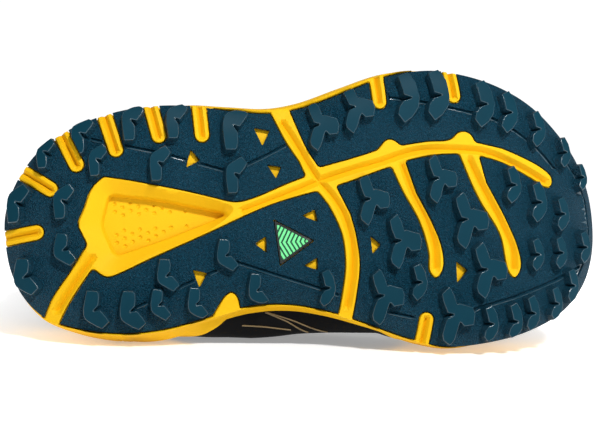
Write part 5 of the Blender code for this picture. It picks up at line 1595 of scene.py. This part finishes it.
def laces(finish, width):
    """The laced part: a bar across the front eyelets, then crossings that lie over one another in turn."""
    run, half_width = throat()[:2]
    stops = eyelet_stops()
    reach = [float(np.interp(s, run, half_width)) + LACE_REACH for s in stops]
    pairs = [(0, 0)] + [pair for k in range(LACE_CROSSINGS) for pair in ((k, k + 1), (k + 1, k))]
    parts = []
    for number, (a, b) in enumerate(pairs):
        start, end = np.array((stops[a], reach[a])), np.array((stops[b], -reach[b]))
        t = np.linspace(0, 1, LACE_STEPS)[:, None]
        flat = start + (end - start) * t
        path = laid(flat)
        step = 1e-4
        ahead = laid(flat + (step, 0)) - laid(flat - (step, 0))
        across = laid(flat + (0, step)) - laid(flat - (0, step))
        up = np.cross(across, ahead)
        up /= np.linalg.norm(up, axis=1)[:, None]
        up *= np.sign(up[:, 2:])
        lift = LACE_WALL * (LACE_LOW + number % 2 * np.exp(-((t - 0.5) / LACE_CROSS) ** 2))
        dip = np.clip(1 - np.minimum(t, 1 - t) / LACE_END, 0, 1) ** 2 * LACE_DIP * LACE_WALL
        parts.append(tube(path + up * (lift - dip), up, width, LACE_WALL, 12))
    made = make_mesh("laces_look", *joined(parts), [finish], angle=LACE_ANGLE)
    settle(made, "lace_cord", "laces")
    return made


def ring_mesh(centre, normal, ahead, around=20, sides=TUBE_SIDES):
    """A small ring that lies on a surface."""
    side = np.cross(normal, ahead)
    side /= np.linalg.norm(side)
    ahead = np.cross(side, normal)
    corners, faces = [], []
    for k in range(around):
        turn = 2 * math.pi * k / around
        way = ahead * math.cos(turn) + side * math.sin(turn)
        for j in range(sides):
            lean = 2 * math.pi * j / sides
            reach = EYELET_RADIUS + EYELET_WIRE * math.cos(lean)
            corners.append(centre + way * reach + normal * 0.6 * EYELET_WIRE * math.sin(lean))
    for k in range(around):
        for j in range(sides):
            a, b = k * sides + j, k * sides + (j + 1) % sides
            c, d = (k + 1) % around * sides + (j + 1) % sides, (k + 1) % around * sides + j
            faces.append((a, b, c, d))
    return np.array(corners), faces


def eyelets(finish):
    """Ringed lace holes in the throat band, two by two."""
    run = throat()[0]
    share = EYELET_SHARE + EYELET_UP
    parts = []
    for stop in eyelet_stops():
        at = float(np.interp(stop, run, side_rails("foot")))
        for side in (1, -1):
            path, normal = on_upper(side, (at, at + EYELET_AHEAD), share, OVERLAY_STEP)
            parts.append(ring_mesh(path[0], normal[0], path[1] - path[0]))
    made = make_mesh("eyelet_rings", *joined(parts), [finish])
    settle(made, "upper_mesh")
    return made


def texture(tree, kind, coords, scale):
    """A procedural pattern's height output."""
    nodes, links = tree.nodes, tree.links
    place = nodes.new("ShaderNodeTexCoord").outputs[coords]
    if kind == "weave":
        waves = []
        for way in ("X", "Y"):
            wave = nodes.new("ShaderNodeTexWave")
            wave.bands_direction = way
            wave.inputs["Scale"].default_value = scale
            wave.inputs["Distortion"].default_value = 0.15
            links.new(place, wave.inputs["Vector"])
            waves.append(wave.outputs["Fac"])
        times = nodes.new("ShaderNodeMath")
        times.operation = "MULTIPLY"
        links.new(waves[0], times.inputs[0])
        links.new(waves[1], times.inputs[1])
        return times.outputs[0]
    made = nodes.new({"noise": "ShaderNodeTexNoise", "cells": "ShaderNodeTexVoronoi"}[kind])
    made.inputs["Scale"].default_value = scale
    links.new(place, made.inputs["Vector"])
    return made.outputs["Distance" if kind == "cells" else "Fac"]


def surface(name, colour, roughness, grains=(), shift=0.0, shift_scale=60.0, sheen=0.0, specular=0.5):
    """A Principled material with procedural grain. grains are rows of pattern, coordinates, scale and
    height in metres; shift is how far broad patches darken and lighten the colour."""
    made = bpy.data.materials.new(name)
    made.use_nodes = True
    tree = made.node_tree
    nodes, links = tree.nodes, tree.links
    shader = nodes["Principled BSDF"]
    for socket, value in (
        ("Base Color", (*colour, 1.0)), ("Roughness", roughness), ("Sheen Weight", sheen),
        ("Specular IOR Level", specular),
    ):
        shader.inputs[socket].default_value = value
    normal = None
    for kind, coords, scale, height in grains:
        bump = nodes.new("ShaderNodeBump")
        bump.inputs["Strength"].default_value = 1.0
        bump.inputs["Distance"].default_value = height
        links.new(texture(tree, kind, coords, scale), bump.inputs["Height"])
        if normal is not None:
            links.new(normal, bump.inputs["Normal"])
        normal = bump.outputs["Normal"]
    if normal is not None:
        links.new(normal, shader.inputs["Normal"])
    if shift:
        ramp = nodes.new("ShaderNodeValToRGB")
        for element, share in zip(ramp.color_ramp.elements, (1 - shift, 1 + shift)):
            element.color = (*[min(1.0, c * share) for c in colour], 1.0)
        ramp.color_ramp.elements[0].position = 0.3
        ramp.color_ramp.elements[1].position = 0.7
        links.new(texture(tree, "noise", "Object", shift_scale), ramp.inputs["Fac"])
        links.new(ramp.outputs["Color"], shader.inputs["Base Color"])
    return made


def chevrons(material, light, dark, step=0.0021, slope=0.55):
    """Dark chevrons over a light film, from the film's own UVs in metres."""
    tree = material.node_tree
    nodes, links = tree.nodes, tree.links
    split = nodes.new("ShaderNodeSeparateXYZ")
    links.new(nodes.new("ShaderNodeTexCoord").outputs["UV"], split.inputs[0])
    last = None
    for operation, first, second in (
        ("ABSOLUTE", split.outputs["X"], None), ("MULTIPLY", "last", slope),
        ("ADD", "last", split.outputs["Y"]), ("DIVIDE", "last", step), ("FRACT", "last", None),
        ("GREATER_THAN", "last", 0.58),
    ):
        node = nodes.new("ShaderNodeMath")
        node.operation = operation
        links.new(last if first == "last" else first, node.inputs[0])
        if isinstance(second, float):
            node.inputs[1].default_value = second
        elif second is not None:
            links.new(second, node.inputs[1])
        last = node.outputs[0]
    mix = nodes.new("ShaderNodeMix")
    mix.data_type = "RGBA"
    links.new(last, mix.inputs["Factor"])
    sockets = [s for s in mix.inputs if s.name in ("A", "B") and s.type == "RGBA"]
    for socket, colour in zip(sockets, (light, dark)):
        socket.default_value = (*colour, 1.0)
    out = [s for s in mix.outputs if s.type == "RGBA"][0]
    links.new(out, nodes["Principled BSDF"].inputs["Base Color"])


def set_range(node, run, values):
    """Gives a Map Range node its run and the values at its two ends."""
    for name, value in zip(("From Min", "From Max", "To Min", "To Max"), (*run, *values)):
        node.inputs[name].default_value = value


def stage_floor():
    """A pale floor that the shoe lies on, with a painted glow that is weak beside the shoe and strong away
    from it.
    """
    mesh = bpy.data.meshes.new("floor")
    shape = bmesh.new()
    bmesh.ops.create_grid(shape, x_segments=8, y_segments=8, size=FLOOR_SIZE)
    shape.to_mesh(mesh)
    shape.free()
    floor = bpy.data.objects.new("floor", mesh)
    bpy.context.scene.collection.objects.link(floor)
    floor.location.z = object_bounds()[0][2] - FLOOR_DROP
    paint = surface("floor paint", (0.90, 0.90, 0.90), 0.85, (("noise", "Object", 900.0, 0.00005),))
    nodes, links = paint.node_tree.nodes, paint.node_tree.links
    # The glow is painted light: it lifts the shoe's shadows on the floor away from the shoe, sooner towards
    # the shoe's ends than to its front and back, whose distances are squeezed
    nodes["Principled BSDF"].inputs["Emission Color"].default_value = (1.0, 1.0, 1.0, 1.0)
    far = nodes.new("ShaderNodeVectorMath")
    far.operation = "LENGTH"
    squeeze = nodes.new("ShaderNodeVectorMath")
    squeeze.operation = "MULTIPLY"
    squeeze.inputs[1].default_value = FLOOR_SQUEEZE
    links.new(nodes.new("ShaderNodeTexCoord").outputs["Object"], squeeze.inputs[0])
    links.new(squeeze.outputs["Vector"], far.inputs[0])
    glow = nodes.new("ShaderNodeMapRange")
    set_range(glow, FLOOR_RUN, FLOOR_GLOW)
    links.new(far.outputs["Value"], glow.inputs["Value"])
    links.new(glow.outputs["Result"], nodes["Principled BSDF"].inputs["Emission Strength"])
    mesh.materials.append(paint)
    floor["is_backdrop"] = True


def area_light(name, place, size, power):
    """A lamp that shines on the shoe from a rectangle."""
    data = bpy.data.lights.new(name, "AREA")
    data.shape = "RECTANGLE"
    data.size, data.size_y = size
    data.energy = power
    lamp = bpy.data.objects.new(name, data)
    bpy.context.scene.collection.objects.link(lamp)
    lamp.location = place
    lamp.rotation_euler = (Vector(LIGHT_AIM) - Vector(place)).to_track_quat("-Z", "Y").to_euler()


def studio_world(context):
    """A white studio, brightest beyond the shoe and dimmer on the sole's side of it."""
    world = bpy.data.worlds.new("studio")
    world.use_nodes = True
    nodes, links = world.node_tree.nodes, world.node_tree.links
    split = nodes.new("ShaderNodeSeparateXYZ")
    links.new(nodes.new("ShaderNodeTexCoord").outputs["Generated"], split.inputs[0])
    blend = nodes.new("ShaderNodeMapRange")
    set_range(blend, WORLD_RUN, WORLD_GLOW)
    links.new(split.outputs["Y"], blend.inputs["Value"])
    links.new(blend.outputs["Result"], nodes["Background"].inputs["Strength"])
    nodes["Background"].inputs["Color"].default_value = (1.0, 1.0, 1.0, 1.0)
    context.scene.world = world


def stage_camera():
    """The camera stands square to the sole's middle, a little to one side."""
    yaw, pitch = math.radians(CAMERA_YAW), math.radians(CAMERA_PITCH)
    right = Vector((math.cos(yaw), 0, -math.sin(yaw)))
    up = Vector((-math.sin(yaw) * math.sin(pitch), -math.cos(pitch), -math.cos(yaw) * math.sin(pitch)))
    look = Vector((math.sin(yaw) * math.cos(pitch), -math.sin(pitch), math.cos(yaw) * math.cos(pitch)))
    place = Vector((SOLE_LENGTH / 2, 0, 0)) + right * CAMERA_RIGHT + up * CAMERA_UP
    place -= look * CAMERA_DISTANCE
    pose = Matrix((right, up, -look)).transposed().to_4x4()
    pose.translation = place
    data = bpy.data.cameras.new("camera")
    data.lens = CAMERA_LENS
    data.sensor_width = CAMERA_SENSOR
    data.clip_start = CAMERA_CLIP
    camera = bpy.data.objects.new("camera", data)
    bpy.context.scene.collection.objects.link(camera)
    camera.matrix_world = lying_matrix() @ pose
    bpy.context.scene.camera = camera


class ShoeColours(bpy.types.PropertyGroup):
    """Colours of the shoe's pieces, linear."""

    rubber: bpy.props.FloatVectorProperty(
        name="Rubber", description="Base of the outsole pads", subtype="COLOR",
        default=(0.0027, 0.034, 0.059), min=0, max=1)
    lugs: bpy.props.FloatVectorProperty(
        name="Lugs", description="Ground faces of the lugs", subtype="COLOR",
        default=(0.0028, 0.032, 0.051), min=0, max=1)
    # Lighter than the lugs' own colour: a painted highlight on the lugs' top chamfers and on the beads beside
    # the moulded lines
    lug_edge_highlights: bpy.props.FloatVectorProperty(
        name="Lug edge highlights", description="Lighter lug edges and beads by the moulded lines, a painted highlight", subtype="COLOR",
        default=(0.008, 0.045, 0.068), min=0, max=1)
    foam: bpy.props.FloatVectorProperty(
        name="Foam", description="Midsole foam", subtype="COLOR", default=(0.765, 0.435, 0.004), min=0, max=1)
    film: bpy.props.FloatVectorProperty(
        name="Film", description="Light film of the inlay", subtype="COLOR", default=(0.160, 0.710, 0.270),
        min=0, max=1)
    film_mark: bpy.props.FloatVectorProperty(
        name="Film marks", description="Dark chevrons and border of the inlay", subtype="COLOR",
        default=(0.006, 0.060, 0.030), min=0, max=1)
    mesh: bpy.props.FloatVectorProperty(
        name="Mesh", description="Woven upper", subtype="COLOR", default=(0.008, 0.008, 0.009), min=0, max=1)
    trim: bpy.props.FloatVectorProperty(
        name="Trim", description="Bands, tongue and laces", subtype="COLOR", default=(0.010, 0.0105, 0.012),
        min=0, max=1)
    lining: bpy.props.FloatVectorProperty(
        name="Lining", description="Collar lining and insole", subtype="COLOR", default=(0.030, 0.032, 0.036),
        min=0, max=1)
    lines: bpy.props.FloatVectorProperty(
        name="Lines", description="Thin lines on the arch", subtype="COLOR", default=(0.16, 0.11, 0.045),
        min=0, max=1)


class ShoeSizes(bpy.types.PropertyGroup):
    """Sizes of the fine pieces."""

    lace_width: bpy.props.FloatProperty(
        name="Lace width", description="Width of the flat lace", default=LACE_WIDTH, min=0.002, max=0.010,
        unit="LENGTH", subtype="DISTANCE")


class SHOE_OT_rubber(bpy.types.Operator):
    """Builds the three rubber pads with their lugs"""

    bl_idname = "shoe.rubber"
    bl_label = "Outsole rubber"

    def execute(self, context):
        colours = context.scene.shoe_colours
        grain = (("cells", "Object", 1900.0, 0.00070),)
        fine = (("noise", "Object", 2500.0, 0.00002),)
        base = surface("grained rubber", colours.rubber, 0.42, grain, 0.45, 1700.0, specular=0.14)
        lugs = surface("lug rubber", colours.lugs, 0.50, fine, 0.06, specular=0.06)
        # The edge rubber is lighter than the lugs, a painted highlight, and its high specular also catches
        # the lamps
        edges = surface("lug edge highlight rubber", colours.lug_edge_highlights, 0.32, specular=0.8)
        for name in PADS:
            rubber_pad(name, [base, lugs, edges])
        return {"FINISHED"}


class SHOE_OT_foam(bpy.types.Operator):
    """Builds the foam midsole"""

    bl_idname = "shoe.foam"
    bl_label = "Midsole foam"

    def execute(self, context):
        colours = context.scene.shoe_colours
        grain = (("noise", "Object", 1400.0, 0.00006),)
        fine = (("noise", "Object", 1800.0, 0.00006),)
        foam = surface("foam", colours.foam, 0.60, grain, 0.04, 30.0, specular=0.12)
        midsole([foam, surface("arch film", (0.0030, 0.0030, 0.0035), 0.60, fine, specular=0.06)])
        return {"FINISHED"}


class SHOE_OT_inlay(bpy.types.Operator):
    """Builds the film inlay"""

    bl_idname = "shoe.inlay"
    bl_label = "Film inlay"

    def execute(self, context):
        colours = context.scene.shoe_colours
        film = surface("film", colours.film, 0.30)
        chevrons(film, colours.film, colours.film_mark)
        inlay([film, surface("film border", (0.004, 0.007, 0.007), 0.40)])
        return {"FINISHED"}


class SHOE_OT_upper(bpy.types.Operator):
    """Builds the upper with its seams, lines and eyelets"""

    bl_idname = "shoe.upper"
    bl_label = "Upper"

    def execute(self, context):
        colours = context.scene.shoe_colours
        knit = (("weave", "UV", 130.0, 0.0005), ("cells", "UV", 420.0, 0.0003))
        fine = (("noise", "Object", 1800.0, 0.00006),)
        cloth = (("weave", "UV", 260.0, 0.0002),)
        mesh = surface("knit mesh", colours.mesh, 0.85, knit, 0.2, 40.0, specular=0.12)
        band = surface("band film", colours.trim, 0.48, fine, 0.1, 40.0, specular=0.14)
        lining = surface("lining cloth", colours.lining, 0.95, cloth, 0.1, 50.0, sheen=0.4)
        upper([mesh, band, lining])
        seams(surface("seam thread", colours.lining, 0.7))
        arch_lines(surface("tan line", colours.lines, 0.5))
        eyelets(surface("eyelet plastic", colours.trim, 0.35))
        return {"FINISHED"}


class SHOE_OT_inside(bpy.types.Operator):
    """Builds the tongue and the insole"""

    bl_idname = "shoe.inside"
    bl_label = "Tongue and insole"

    def execute(self, context):
        colours = context.scene.shoe_colours
        cloth = (("cells", "Object", 700.0, 0.0002), ("noise", "Object", 2400.0, 0.0001))
        tongue(surface("tongue cloth", colours.trim, 0.85, cloth, 0.15, sheen=0.3))
        insole(surface("insole cloth", colours.lining, 0.92, cloth, 0.1, sheen=0.3))
        return {"FINISHED"}


class SHOE_OT_laces(bpy.types.Operator):
    """Builds the laced part of the lace"""

    bl_idname = "shoe.laces"
    bl_label = "Laces"

    def execute(self, context):
        colours = context.scene.shoe_colours
        braid = (("weave", "Object", 420.0, 0.0003),)
        braided = surface("lace braid", colours.trim, 0.75, braid, 0.15, 80.0, sheen=0.3)
        laces(braided, context.scene.shoe_sizes.lace_width)
        return {"FINISHED"}


class SHOE_OT_stage(bpy.types.Operator):
    """Sets the floor, the light and the camera"""

    bl_idname = "shoe.stage"
    bl_label = "Stage"

    def execute(self, context):
        stage_floor()
        stage_camera()
        area_light("key", *KEY_LIGHT)
        area_light("rim", *RIM_LIGHT)
        studio_world(context)
        context.scene.view_settings.view_transform = "Standard"
        return {"FINISHED"}


class SHOE_PT_pieces(bpy.types.Panel):
    """Lists the shoe's pieces and colours"""

    bl_label = "Trail running shoe"
    bl_idname = "SHOE_PT_pieces"
    bl_space_type = "VIEW_3D"
    bl_region_type = "UI"
    bl_category = "Shoe"

    def draw(self, context):
        for step in OPERATORS:
            self.layout.operator(step.bl_idname)
        for name in ShoeColours.__annotations__:
            self.layout.prop(context.scene.shoe_colours, name)
        for name in ShoeSizes.__annotations__:
            self.layout.prop(context.scene.shoe_sizes, name)


OPERATORS = (
    SHOE_OT_rubber, SHOE_OT_foam, SHOE_OT_inlay, SHOE_OT_upper, SHOE_OT_inside, SHOE_OT_laces, SHOE_OT_stage,
)
CLASSES = (ShoeColours, ShoeSizes) + OPERATORS + (SHOE_PT_pieces,)


def register():
    """Adds the classes and the scene's two groups of settings."""
    for made in CLASSES:
        bpy.utils.register_class(made)
    bpy.types.Scene.shoe_colours = bpy.props.PointerProperty(type=ShoeColours)
    bpy.types.Scene.shoe_sizes = bpy.props.PointerProperty(type=ShoeSizes)


def unregister():
    """Takes away what register adds."""
    del bpy.types.Scene.shoe_sizes
    del bpy.types.Scene.shoe_colours
    for made in reversed(CLASSES):
        bpy.utils.unregister_class(made)


def main():
    """Builds every piece in order."""
    register()
    for step in (
        bpy.ops.shoe.rubber, bpy.ops.shoe.foam, bpy.ops.shoe.inlay, bpy.ops.shoe.upper, bpy.ops.shoe.inside,
        bpy.ops.shoe.laces, bpy.ops.shoe.stage,
    ):
        if step() != {"FINISHED"}:
            raise RuntimeError("a piece could not be built")
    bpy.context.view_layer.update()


if __name__ == "__main__":
    main()
